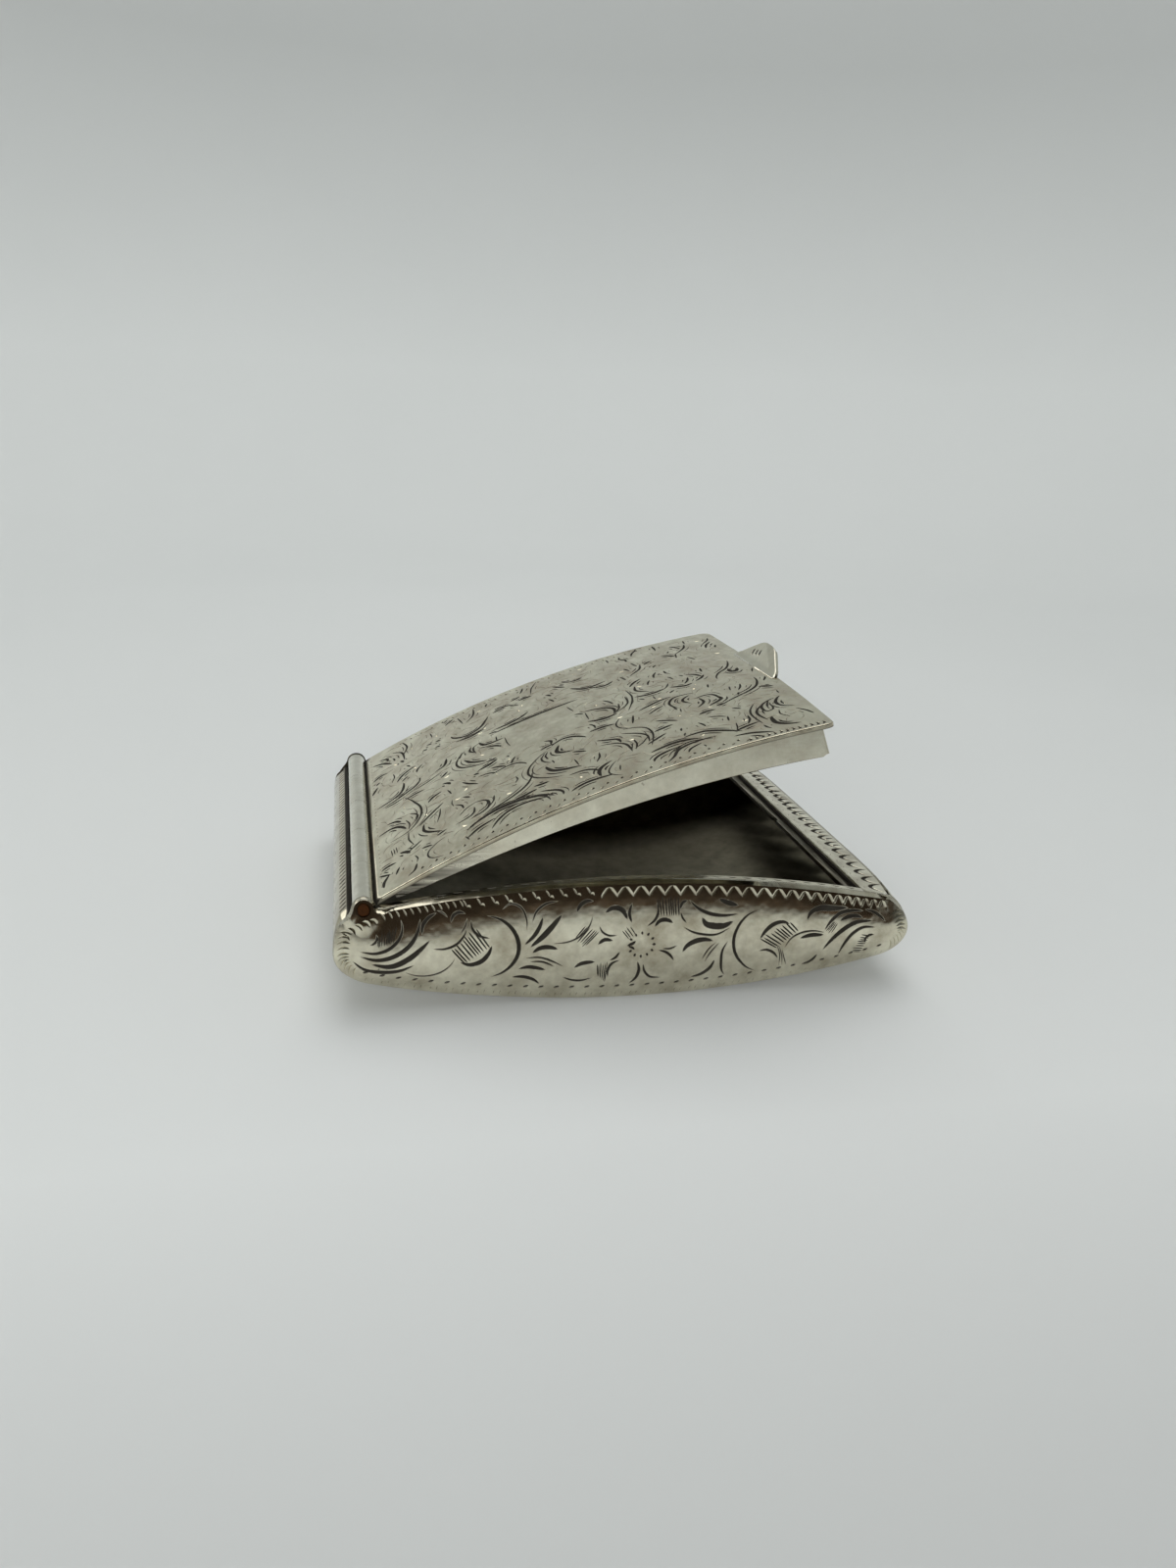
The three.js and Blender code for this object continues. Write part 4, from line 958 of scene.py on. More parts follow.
# Hinge pin: a browned iron wire pushed through the barrel and both ears. Its ends stand just out of
# the ears and are filed slightly round.
PIN_RADIUS, PIN_END, PIN_DOME, PIN_SIDES = 0.8, 33.95, 0.12, 32
IRON = bpy.data.materials.new("browned iron")
IRON.use_nodes = True
tree = IRON.node_tree
place = add(tree, "ShaderNodeTexCoord").outputs["Object"]
rust = add(tree, "ShaderNodeTexNoise", {"Vector": place, "Scale": 2200, "Detail": 4, "Roughness": 0.65})
tone = add(tree, "ShaderNodeMix", {"Factor": rust.outputs["Fac"], "A": (0.012, 0.004, 0.001, 1),
                                   "B": (0.065, 0.021, 0.003, 1)}, data_type="RGBA")
pits = add(tree, "ShaderNodeBump", {"Height": rust.outputs["Fac"], "Strength": 1, "Distance": 0.05 * MM})
shader = tree.nodes["Principled BSDF"]
tree.links.new(tone.outputs["Result"], shader.inputs["Base Color"])
tree.links.new(pits.outputs[0], shader.inputs["Normal"])
shader.inputs["Specular IOR Level"].default_value = 0.12
shader.inputs["Roughness"].default_value = 0.6
profile = [(PIN_RADIUS * math.sin(a), -PIN_END + PIN_DOME * (1 - math.cos(a)))
           for a in (0.35, 0.75, 1.1, 1.4)]
profile += [(PIN_RADIUS, y) for y in np.linspace(-PIN_END + PIN_DOME, PIN_END - PIN_DOME, 9)]
profile += [(r, -y) for r, y in profile[3::-1]]
turn = np.linspace(0, 2 * np.pi, PIN_SIDES + 1)[:-1]
points = [(HINGE_X + r * math.cos(a), y, HINGE_Z + r * math.sin(a)) for r, y in profile for a in turn]
faces = [tuple(range(PIN_SIDES)), tuple(range(len(points) - 1, len(points) - 1 - PIN_SIDES, -1))]
for ring in range(len(profile) - 1):
    for k in range(PIN_SIDES):
        a, b = ring * PIN_SIDES + k, ring * PIN_SIDES + (k + 1) % PIN_SIDES
        faces.append((b, a, a + PIN_SIDES, b + PIN_SIDES))
pin = mesh_object("iron_hinge_pin", points, faces, IRON)
pin.data.polygons.foreach_set("use_smooth", [True] * len(faces))
pin.data.set_sharp_from_angle(angle=math.radians(50))
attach(pin, "case_body")
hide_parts("hinge_pin")

# Lid plate: a bowed silver sheet, hung open on the barrel. Scrolls and leaves are bright-cut all over
# it round a plain cartouche, with a pricked border along the front edge.
LID_OPEN = math.radians(20.9)
LID_START, LID_END, LID_HALF, LID_CORNER, LID_SHEET = -36.28, 33.2, 31.7, 2.0, 0.7
LID_GRAIN = 1.5


def hung(points):
    """Lid points, drawn shut, turned open about the hinge pin."""
    x, z = points[:, 0] - HINGE_X, points[:, 2] - HINGE_Z
    c, s = math.cos(LID_OPEN), math.sin(LID_OPEN)
    return np.column_stack([HINGE_X + x * c - z * s, points[:, 1], HINGE_Z + x * s + z * c])


def on_lid(uv):
    return hung(on_top(uv))


front_edge = np.column_stack([np.linspace(LID_START, 29.9, 49), np.full(49, -LID_HALF)])
front_corner = bezier((29.9, -LID_HALF), (31.3, -LID_HALF), (31.95, -31.4), (32.05, -30.8), 8)
free_edge = smooth_line([(32.05, -30.8), (32.85, -18), (33.35, -5), (33.45, 8), (33.3, 20),
                         (LID_END, LID_HALF - LID_CORNER)], 24)
back_corner = bezier((LID_END, LID_HALF - LID_CORNER), (LID_END, LID_HALF - 0.9), (LID_END - 0.9, LID_HALF),
                     (LID_END - LID_CORNER, LID_HALF), 8)
back_edge = np.column_stack([np.linspace(LID_END - LID_CORNER, LID_START, 49), np.full(49, LID_HALF)])
lid_plan = np.vstack([front_edge, front_corner[1:], free_edge[1:], back_corner[1:], back_edge[1:]])
LID_ROWS = [
    # front row, hinge side
    (0.45, (-27.3, -13.7), (-25.8, -12.2), (-24.5, -10.9)),
    (0.30, (-24.4, -12.6), (-24.6, -14.2), (-25, -15.7)),
    (0.25, (-22.3, -11.3), (-22.4, -12.2), (-22.3, -13.2)),
    (0.35, (-21.7, -14), (-21.2, -14.7), (-21, -15.9)),
    (0.35, (-20.4, -12), (-19.7, -13)),
    (0.50, (-27.6, -16), (-27.6, -17.2), (-27, -18.5), (-25.8, -19.8)),
    (0.30, (-30, -15.5), (-30.1, -17.4), (-29.7, -19.2)),
    (0.20, (-33, -18.2), (-32.9, -19.8)),
    (0.20, (-32.6, -18.1), (-32.5, -19.7)),
    (0.20, (-32.2, -18), (-32.1, -19.6)),
    (0.60, (-31.4, -20.9), (-30.7, -21.6), (-30.4, -22.1)),
    (0.35, (-28.5, -20.5), (-29.4, -21.2), (-30.2, -21.8)),
    (0.45, (-34.9, -23.5), (-34, -23.2), (-33, -23.2)),
    (0.40, (-35.3, -24.8), (-34.6, -25.5), (-33.9, -26)),
    (0.60, (-34, -26.8), (-34.5, -28), (-34.6, -29.5)),
    (0.40, (-32.1, -25.7), (-32.5, -27)),
    (0.30, (-29.4, -24.8), (-29.2, -25.8), (-29.3, -26.5)),
    (0.40, (-29.5, -28.1), (-29.8, -29.2), (-31, -30)),
    (0.40, (-28.1, -23.3), (-27, -23.8)),
    (0.30, (-26.3, -24.3), (-27.4, -25.6), (-27.6, -26.8), (-26.8, -28.5), (-25.2, -29.4)),
    (0.25, (-21.8, -27), (-21.5, -28.2)),
    (0.45, (-20.9, -27.2), (-19.7, -26.3), (-17.9, -25.7)),
    (0.45, (-18, -28.6), (-17.3, -27.5), (-16.3, -26.2), (-14.8, -25.2), (-13, -24.9), (-11, -25.3)),
    (0.70, (-19.1, -23.6), (-17.5, -23), (-15.5, -22.8), (-13.5, -23.1), (-11.5, -23.7), (-10.2, -24.5)),
    (0.40, (-16.4, -21.7), (-15, -21.2), (-13.5, -20.6), (-12.5, -19.9), (-11, -18.6), (-10.1, -17)),
    (0.40, (-19.4, -21.4), (-18, -20.9), (-17.2, -20), (-17, -18.7)),
    (0.35, (-21.7, -20.9), (-20.5, -20.6), (-19.7, -20), (-19.4, -18.8)),
    (0.35, (-18.4, -16.5), (-17.5, -17.2), (-17.3, -18.2), (-17.6, -19.2)),
    (0.35, (-16.1, -17.5), (-16.3, -18.7), (-16.8, -19.6)),
    (0.25, (-21.4, -17.9), (-20.6, -17), (-19.6, -16.5)),
    (0.35, (-25.5, -21.5), (-24.4, -21)),
    # front row, middle
    (0.45, (-8.1, -10), (-9.3, -11.6), (-10.2, -14), (-10, -16), (-9.2, -17.6), (-8, -19)),
    (0.30, (-11.9, -13.7), (-11.8, -14.7), (-12.2, -15.5)),
    (0.40, (-6.9, -9.6), (-7.4, -10.8), (-7.2, -12.2), (-6.8, -13)),
    (0.35, (-6.1, -9.2), (-6.5, -10.3), (-6.4, -11.2)),
    (0.30, (-6, -13.2), (-5.9, -14.2)),
    (0.70, (-4.4, -8.7), (-4.8, -10), (-4.6, -10.9), (-3.4, -11.8)),
    (0.45, (-2.3, -13.2), (-1.7, -13.8), (-1.1, -14.4)),
    (0.65, (-7.2, -16), (-6.8, -17.2), (-5.6, -18.4), (-3.9, -19.2)),
    (0.30, (-3, -16.6), (-2.9, -18.6)),
    (0.50, (-9.8, -20.5), (-9, -20.8), (-8.3, -20.8)),
    (0.50, (-13.2, -22.2), (-11.8, -22.2), (-10.6, -21.9)),
    (0.45, (-8.7, -24), (-7.5, -25.2), (-6.9, -26.5), (-7, -27.7)),
    (0.35, (-10.4, -24.4), (-9.3, -25.8), (-8.9, -27.6)),
    (0.50, (-5.8, -27.8), (-4.5, -27.1), (-2.8, -26.8), (-0.8, -27.1)),
    (0.40, (-3.9, -21.7), (-2.6, -22), (-1.6, -22.8), (-1.1, -23.6)),
    (0.60, (0.8, -22.6), (-0.1, -23.3), (-0.7, -24.3), (-0.9, -25.4)),
    (0.35, (0.7, -17.8), (0.5, -19), (0, -20)),
    (0.30, (1.2, -24), (0.5, -25.3), (0.3, -26.6), (0.9, -27.9), (1.7, -28.8)),
    (0.25, (2.2, -25.2), (1.9, -26.5)),
    (0.55, (2.2, -12.7), (3.2, -13.6), (4.1, -14.2), (4.4, -15.2)),
    (0.40, (2.8, -15.3), (4.2, -16.4), (4.8, -17.6), (5, -19.8)),
    (0.40, (6.4, -13.7), (7.5, -15), (8.3, -16.4), (8.3, -18.2)),
    (0.35, (7.8, -12), (8.8, -13), (9.3, -14.8), (9.3, -16.8), (8.7, -19.3)),
    (0.35, (6.4, -17.3), (6.4, -18.8), (6, -20.2)),
    (0.25, (5.7, -18.6), (5.2, -20.5)),
    (0.25, (8, -18.2), (7, -19.6), (6.1, -20.3)),
    (0.40, (8.2, -20.4), (9.2, -19.8), (10.4, -19)),
    (0.60, (8.5, -24), (10, -23.7), (11.8, -23.7), (13.3, -24.2)),
    (0.45, (6.6, -28.2), (7, -27.2), (8.2, -26.3), (9.6, -25.8)),
    (0.45, (8.1, -30), (9.3, -28.9), (10, -27.8), (10.9, -26.5), (12.3, -25.9), (14.3, -25.6)),
    (0.30, (10.8, -26), (12.3, -25), (14, -25.2), (15, -25.6)),
    (0.35, (11.5, -28.8), (12.2, -27.7), (13.4, -27)),
    (0.25, (14.1, -27.8), (14.2, -28.6)),
    # front row, free side
    (0.45, (11.6, -12.5), (12.5, -13.3), (13.4, -14.2)),
    (0.50, (10.3, -16.4), (11.2, -16.2), (12.3, -15.9)),
    (0.35, (13.4, -18.6), (13.2, -19.4)),
    (0.30, (13.3, -21), (13, -21.8)),
    (0.40, (16.2, -18.6), (16.4, -19.4), (16.5, -20.2)),
    (0.50, (17.8, -14.7), (18.8, -14.4), (19.6, -14.4)),
    (0.45, (21, -12.9), (21.8, -12.7), (22.2, -12.6)),
    (0.35, (18.5, -17.3), (19.3, -17.8), (20, -18.5)),
    (0.35, (20.5, -19.2), (20.2, -20.6)),
    (0.40, (22.4, -16), (23.1, -16.8)),
    (0.55, (14.3, -22.4), (15.8, -22.6), (17.2, -23.6), (19, -25.3)),
    (0.40, (23, -21.3), (22.8, -22.6), (22.3, -23.6)),
    (0.25, (20.5, -23.2), (20.2, -24.6), (19.7, -25.8)),
    (0.45, (20, -25.7), (21.2, -25.2), (22.7, -24.7)),
    (0.50, (19.9, -28), (21.2, -28.4), (22.5, -29.2), (23.8, -29.9)),
    (0.40, (20.4, -29.2), (21.3, -30), (22, -30.8)),
    (0.35, (23.5, -26.6), (23.6, -27.6), (23.8, -28)),
    (0.75, (25.2, -25), (25.2, -26.6), (26, -27.8), (27.2, -28.5), (28.3, -28.7)),
    (0.65, (29, -16.3), (28.4, -17.6), (28.4, -19.2), (29.2, -20.4), (30.3, -21)),
    (0.40, (30.2, -22.9), (30.7, -24), (31, -25.3)),
    (0.35, (24.8, -17.5), (24, -19.2), (23.6, -21.3), (23.6, -23.7)),
    (0.45, (25.8, -18.3), (24.9, -19.6), (24.5, -21.2), (24.6, -23)),
    (0.40, (27.5, -16.5), (26.4, -17.7), (25.9, -19.3), (26, -20.5), (26.7, -21.2), (27, -20.4)),
    (0.30, (27.6, -16.8), (26.9, -18.4)),
    (0.30, (27.4, -22), (27.1, -23.2), (27.6, -24.6)),
    (0.30, (30.7, -12.3), (30.6, -13.3)),
    # middle row, hinge side
    (0.50, (-33, 2.4), (-31.5, 2.8), (-30.3, 3.5), (-29.7, 4.6), (-29.4, 6.2)),
    (0.45, (-31.8, 1.5), (-30, 2), (-28.4, 2.8), (-27, 3.7), (-26.7, 4.5)),
    (0.35, (-32.6, 0.6), (-31.3, 0.5), (-30.3, 0.8)),
    (0.40, (-29.1, -0.4), (-28.2, -0.3), (-26.8, -0.3)),
    (0.30, (-27, 1.8), (-24.8, 2.4), (-23.5, 3.2)),
    (0.45, (-22.8, 1.2), (-22.3, 1.6), (-21.9, 2.2)),
    (0.50, (-22.9, 5.4), (-22, 5.9), (-21.6, 6.8), (-21.4, 8)),
    (0.40, (-19.5, 6), (-20, 4.5), (-20, 2.5), (-19.4, 1), (-18.2, -0.3), (-16.3, -1.4)),
    (0.55, (-18.3, 2.9), (-17.8, 1.6), (-17, 0.6), (-16, -0.3)),
    (0.40, (-18.6, 7.6), (-18.9, 6.7), (-19.1, 6)),
    (0.50, (-17, 8.3), (-17.3, 7), (-16.9, 6)),
    (0.30, (-15.6, 8.7), (-16.4, 8), (-16.5, 6.8), (-16.4, 5.6)),
    (0.55, (-15.1, 8), (-14.6, 6.8), (-13.4, 6.3), (-12.3, 6.2)),
    (0.50, (-13.9, 4.9), (-13.1, 4.2), (-12.4, 3.2)),
    (0.30, (-12.2, 8.2), (-12.3, 6.5)),
    (0.50, (-15.1, -1.8), (-14.4, -1.9), (-13.8, -1.8)),
    (0.60, (-16.3, -3.8), (-15, -3.5), (-14, -2.8)),
    (0.50, (-17.8, -4.8), (-17.2, -5.1)),
    (0.45, (-14.6, -5.6), (-13.8, -6.2), (-13.1, -6.9)),
    (0.35, (-16.7, -6.7), (-15.8, -7), (-14.8, -7.8)),
    (0.40, (-19.7, -6.3), (-19.3, -7.2), (-18.2, -8.7)),
    (0.50, (-22.8, -2.3), (-22.3, -2.8), (-22, -3.5)),
    (0.30, (-22.5, -6.2), (-22.2, -7.8)),
    (0.50, (-25.6, -6.5), (-25, -5.8), (-24, -5.3)),
    (0.40, (-28.1, -3.6), (-27.8, -5.2), (-27.3, -6.8), (-27.2, -8.6), (-27.4, -10.2), (-27.9, -11.8),
     (-29, -13.6), (-31, -14.8), (-33.6, -14.8)),
    (0.35, (-28.9, -8), (-28.2, -9.2), (-28.1, -10.2), (-28.3, -11.2)),
    (0.45, (-32.7, -7.2), (-31.8, -7.7), (-31.2, -8.5)),
    (0.50, (-33.6, -9.7), (-32.4, -9.7), (-31.4, -10.5), (-30.7, -11.7)),
    (0.30, (-29.9, -10), (-29.6, -11.5), (-29.7, -12.8)),
    # middle row, round the cartouche
    (0.25, (-11, 5), (-11, 3), (-10.7, 0.8)),
    (0.40, (-12, -3.2), (-11.7, -3.5)),
    (0.40, (-10.9, -5.2), (-11.3, -6), (-11.6, -6.8)),
    (0.35, (-14, -7.8), (-12.5, -7.6), (-11, -8), (-10.2, -8.9)),
    (0.50, (-5.2, -3.8), (-4.7, -4.4), (-4.8, -5.5)),
    (0.45, (-6.4, -6.7), (-5.6, -6.4), (-4.7, -6.3)),
    (0.45, (-3.9, -6.1), (-3, -5.7), (-2.2, -5.8), (-1.2, -6.4), (-0.2, -7.6)),
    (0.40, (1.3, 3.6), (2.2, 2.8)),
    (0.30, (2.8, 2.2), (2.7, -0.3)),
    (0.25, (0.8, 9.3), (0.9, 8.2), (1.2, 6.5)),
    (0.40, (6.8, 5.4), (7.2, 4.4), (7.5, 3.2)),
    (0.55, (4, 3), (5.3, 2.3), (6.4, 1.3), (7, 0.2), (7, -1)),
    (0.35, (8.3, 1), (8, -0.6), (7.3, -1.8)),
    (0.35, (10.1, 3), (9.9, 1), (9.2, -0.4), (8.4, -1.2)),
    (0.35, (11.2, 5.5), (11.2, 3.5), (10.6, 0.8), (9.8, -1.3)),
    (0.60, (3, -2.6), (3.6, -3), (4.8, -3.4), (6.2, -3.1)),
    (0.40, (2.3, -3.9), (2.6, -4.8), (2.6, -5.7)),
    (0.55, (2.2, -7), (3.5, -7), (4.8, -7.2)),
    (0.35, (6.2, -6.5), (5.6, -7.9), (5.7, -9.6), (6.4, -10.8)),
    (0.40, (8.8, -6.9), (8.5, -8.2), (8.2, -9.2)),
    # middle row, free side
    (0.50, (12.5, 7.2), (12.3, 5.8), (12.7, 4.9), (13.4, 4)),
    (0.55, (12.3, 2), (13.3, 1.6), (14.6, 1.6), (15.8, 2)),
    (0.35, (11.8, 0.6), (12.3, 0)),
    (0.30, (14, -0.1), (14, -1.3)),
    (0.35, (16.8, -0.6), (17.5, 0.1)),
    (0.50, (18.1, 1.8), (19, 1.2), (20, 0.9), (20.5, 1.1)),
    (0.40, (21.3, 4.6), (21, 3.5), (20.4, 2.6)),
    (0.50, (22, 6.6), (22.8, 5.7), (23.2, 4.6)),
    (0.45, (23.8, 4), (23.3, 3.1), (22.4, 2.4)),
    (0.30, (17.7, 4.2), (17.3, 3.2), (16.8, 2.5)),
    (0.35, (15.6, 8.8), (15.2, 7.9), (15, 7.2)),
    (0.35, (18.8, 8), (19, 7.2), (19.1, 6.6)),
    (0.35, (20.6, 7.5), (20.9, 6.8)),
    (0.40, (24.6, 8.3), (24.4, 6.8)),
    (0.40, (29.4, 7.8), (28.8, 6.2), (27.8, 4.7), (26.5, 3.6), (25.7, 2.3)),
    (0.60, (28.2, 3.9), (28.3, 2.7), (29, 2.4), (29.6, 3.4)),
    (0.30, (31.9, 2.5), (31.3, 0.8)),
    (0.45, (11.3, -4.5), (12.6, -3.9), (14, -3.2), (15.1, -2.9)),
    (0.35, (11.6, -7.7), (12.5, -7), (13.5, -6.3)),
    (0.40, (18.1, -3.5), (16.6, -3.6), (15.6, -4.8), (15.1, -6.2), (15.2, -7.6)),
    (0.50, (18.2, -4.9), (17.4, -5.8), (17.3, -6.8), (17.6, -7.7)),
    (0.35, (15.1, -8.2), (15.2, -9.6)),
    (0.25, (15.8, -9.9), (15.6, -11)),
    (0.40, (20, -6.6), (20.6, -6.5), (21.4, -6.6), (22, -7.5), (22.2, -8.7)),
    (0.50, (19.8, -8), (19.9, -9.2), (19.6, -10), (18.9, -10.8)),
    (0.60, (22.5, -9), (22.6, -10), (21.9, -10.8), (20.8, -11.5)),
    (0.30, (22.9, -1.5), (22.6, -2.7)),
    (0.30, (25.3, -5.4), (25, -6.8)),
    (0.35, (27.1, -5.4), (26.8, -6.5), (26.3, -7.4)),
    (0.40, (29.9, -5.6), (29.2, -7.4), (28, -8.9), (26.5, -10), (24.5, -11.1), (23.2, -11.9)),
    (0.60, (29.5, -8.6), (30.4, -9.3), (31.2, -9.4)),
    (0.35, (31.9, -3.6), (31.6, -4.6), (31.2, -5.3)),
    (0.40, (25.6, -9.2), (25.3, -10)),
    # back row, hinge side
    (0.45, (-28, 28.4), (-27.7, 27), (-27.6, 25.5), (-28.2, 23.4)),
    (0.40, (-29.6, 25.4), (-29, 24.4), (-28.7, 22.8), (-28.6, 20.9)),
    (0.50, (-33.9, 24.5), (-32.8, 23.6), (-31.6, 21.9)),
    (0.50, (-32.8, 25.8), (-32, 25.2), (-31.7, 24.3)),
    (0.40, (-30.6, 23.2), (-30.4, 22)),
    (0.50, (-29.3, 19.7), (-28.9, 18.7)),
    (0.50, (-34.4, 16.8), (-33.6, 17.3), (-32.6, 17.4)),
    (0.45, (-34.2, 13.9), (-33.7, 14.4)),
    (0.50, (-34.3, 12), (-34.7, 11), (-35.2, 9.8)),
    (0.30, (-30.9, 14.3), (-30.8, 13.2), (-31.2, 11.7)),
    (0.50, (-30, 10.7), (-29.2, 11.9), (-27.6, 12.9)),
    (0.40, (-29.4, 9.1), (-28.6, 9.9)),
    (0.40, (-25.8, 11.9), (-26.5, 10.9), (-26.7, 10.1)),
    (0.35, (-28.3, 15.5), (-27.9, 14.6)),
    (0.30, (-22.9, 26.2), (-22.8, 24.4)),
    (0.45, (-23.9, 20.9), (-23.3, 20.5)),
    (0.45, (-24.9, 19), (-24.3, 18.6)),
    (0.45, (-22.2, 20.5), (-21.6, 20.1)),
    (0.45, (-22.5, 17.5), (-21.9, 17.1)),
    (0.50, (-19.5, 27.2), (-18.8, 27.8), (-18.3, 28.3)),
    (0.40, (-19.8, 29), (-19.2, 29.6)),
    (0.30, (-17.2, 27), (-17, 25.5), (-16.8, 24)),
    (0.40, (-14, 28), (-14.2, 26), (-14.7, 24.7), (-15.2, 24)),
    (0.50, (-18.7, 17), (-17.6, 15.9), (-16, 15.8), (-14.4, 16.3), (-13.4, 17.8), (-12.9, 18.8)),
    (0.50, (-17.9, 14.7), (-16.2, 14.2), (-14.4, 14.8)),
    # back row, middle
    (0.60, (-9.5, 10.7), (-5, 10.9), (0.2, 11.1)),
    (0.55, (-10.7, 12.2), (-9, 12.2), (-7.4, 12.7), (-6.3, 13.5)),
    (0.40, (-13, 11.3), (-12, 11)),
    (0.50, (-10.6, 21.8), (-9.6, 22), (-9, 22.2)),
    (0.45, (-9.8, 23.3), (-8.6, 22.8), (-7.6, 22.1)),
    (0.40, (-7.5, 21.4), (-6.5, 20.6)),
    (0.50, (-6.8, 24.3), (-6, 24.5), (-5.5, 24.8)),
    (0.60, (-5.5, 22.8), (-3.8, 22.7)),
    (0.40, (-4.7, 27), (-4.3, 27.9), (-4.1, 28.8)),
    (0.30, (-3, 25.2), (-2.6, 27), (-1.7, 29)),
    (0.40, (-11.6, 27.5), (-11.3, 28.5)),
    (0.50, (1.1, 22.8), (1.6, 21.9), (2.3, 21)),
    (0.50, (2.9, 24.2), (3.3, 23.4), (3.8, 22.8)),
    (0.50, (4.3, 22.6), (5.2, 22.3), (6, 22.6)),
    (0.50, (-1, 19.8), (-0.5, 18.6)),
    (0.40, (-1, 16.6), (-0.6, 15)),
    (0.55, (4, 17.4), (4.6, 16.5), (5.5, 15.6), (6.6, 15.5), (8.1, 15.8)),
    (0.50, (6.9, 14.6), (7.8, 13.9), (9, 13.7), (9.8, 14.2)),
    # back row, free side
    (0.35, (12.4, 28.7), (12.4, 27.2)),
    (0.55, (14.6, 27.6), (14.6, 26.6), (15.2, 25.8), (15.3, 25)),
    (0.40, (17.2, 27.8), (17.6, 28.8), (18.4, 30), (18.7, 31)),
    (0.45, (21.7, 29.5), (21.7, 28), (21.6, 27.2)),
    (0.50, (24.4, 26.4), (24.8, 25.6), (25.2, 24.5)),
    (0.40, (26.6, 25), (26.2, 23.8), (25.5, 22.8), (24.6, 21.8)),
    (0.30, (23.2, 23.7), (22.9, 23)),
    (0.55, (21.7, 21.8), (22.3, 21), (22.9, 20.1)),
    (0.35, (23.8, 20.8), (23.4, 18.9)),
    (0.35, (27.4, 28.5), (27.2, 27)),
    (0.30, (31.8, 27.5), (31.3, 25.8), (30.2, 24.3)),
    (0.45, (30.9, 23.8), (30.2, 22.7), (29.7, 21.3)),
    (0.40, (31.5, 21.6), (31.1, 20.2)),
    (0.35, (15.7, 22), (15.8, 21), (16, 20)),
    (0.50, (17.7, 19.6), (18.2, 20), (18.8, 20.3)),
    (0.40, (16.6, 19), (16.1, 17.3), (15.3, 16.4), (14.5, 15.6)),
    (0.35, (13.8, 19.8), (14.2, 18.3)),
    (0.40, (18.4, 16.2), (18.9, 17)),
    (0.45, (12.1, 15.4), (12.3, 14.4), (12.4, 13.7)),
    (0.40, (17.6, 12.3), (17.1, 11.3), (16.9, 10.4)),
    (0.40, (19.1, 12), (19.1, 10.7), (19.4, 10.2)),
    (0.45, (14.2, 11.1), (13.3, 10.3), (12.5, 9.2)),
    (0.35, (25, 17), (25.5, 15.2)),
]
CARTOUCHE = ((-10.6, -1.0), (0.8, 10.5))
VEIN_REACH = ((-35.0, -28.6), (31.6, 30.4))
DRAWN_OUT = 0.32


def on_ground(points):
    """Whether a line stays on the engraved ground, off the plain cartouche and the border."""
    low, high = np.min(points, axis=0), np.max(points, axis=0)
    on_plain = (high > CARTOUCHE[0]).all() and (low < CARTOUCHE[1]).all()
    return (low > VEIN_REACH[0]).all() and (high < VEIN_REACH[1]).all() and not on_plain


def drawn_out(points):
    """A line carried on past both ends with the bend it has there, as the graver runs out of the metal."""
    line = smooth_line(points, 12)
    reach = DRAWN_OUT * np.hypot(*np.diff(line, axis=0).T).sum()
    longer = line[::3]
    for _ in range(2):
        last, before = line[-1] - line[-3], line[-3] - line[-5]
        heading = math.atan2(last[1], last[0])
        turn = math.atan2(before[0] * last[1] - before[1] * last[0], before @ last) / np.hypot(*last)
        bend = float(np.clip(turn, -0.3, 0.3)) * reach
        turns = (heading + bend * 0.3, heading + bend * 0.8)
        steps = [np.array([math.cos(a), math.sin(a)]) * reach / 2 for a in turns]
        more = line[-1] + np.cumsum(steps, axis=0)
        longer = np.vstack([longer, more]) if on_ground(more) else longer
        line, longer = line[::-1], longer[::-1]
    return longer


def lid_cut(width, *points, soot=2.0):
    """A cut of the lid: a little broader along the case than across it, and full of old polish."""
    way = np.array(points[-1], float) - points[0]
    broad = 0.85 + 0.6 * abs(way[0]) / np.hypot(*way)
    return Cut(width * broad, *points, lean=0.7 if way[0] > 0 else 0.3, blunt=0.5, soot=soot, full=0.6)


def veins(row):
    """Finer cuts that follow a main cut on its hollow side, like the veins of a leaf."""
    line = smooth_line(row[1:], 12)
    along = np.gradient(line, axis=0)
    along /= np.hypot(*along.T)[:, None]
    chord = (line[0] + line[-1]) / 2 - line[6]
    hollow = np.column_stack([-along[:, 1], along[:, 0]])
    hollow *= 1 if (hollow[6] * chord).sum() >= 0 else -1
    for gap, first, last, share in ((0.85, 1, 10, 0.55), (-0.9, 2, 11, 0.45)):
        vein = (line + hollow * gap)[first:last + 1:3]
        if on_ground(vein):
            yield lid_cut(row[0] * share, *vein, soot=1.1)


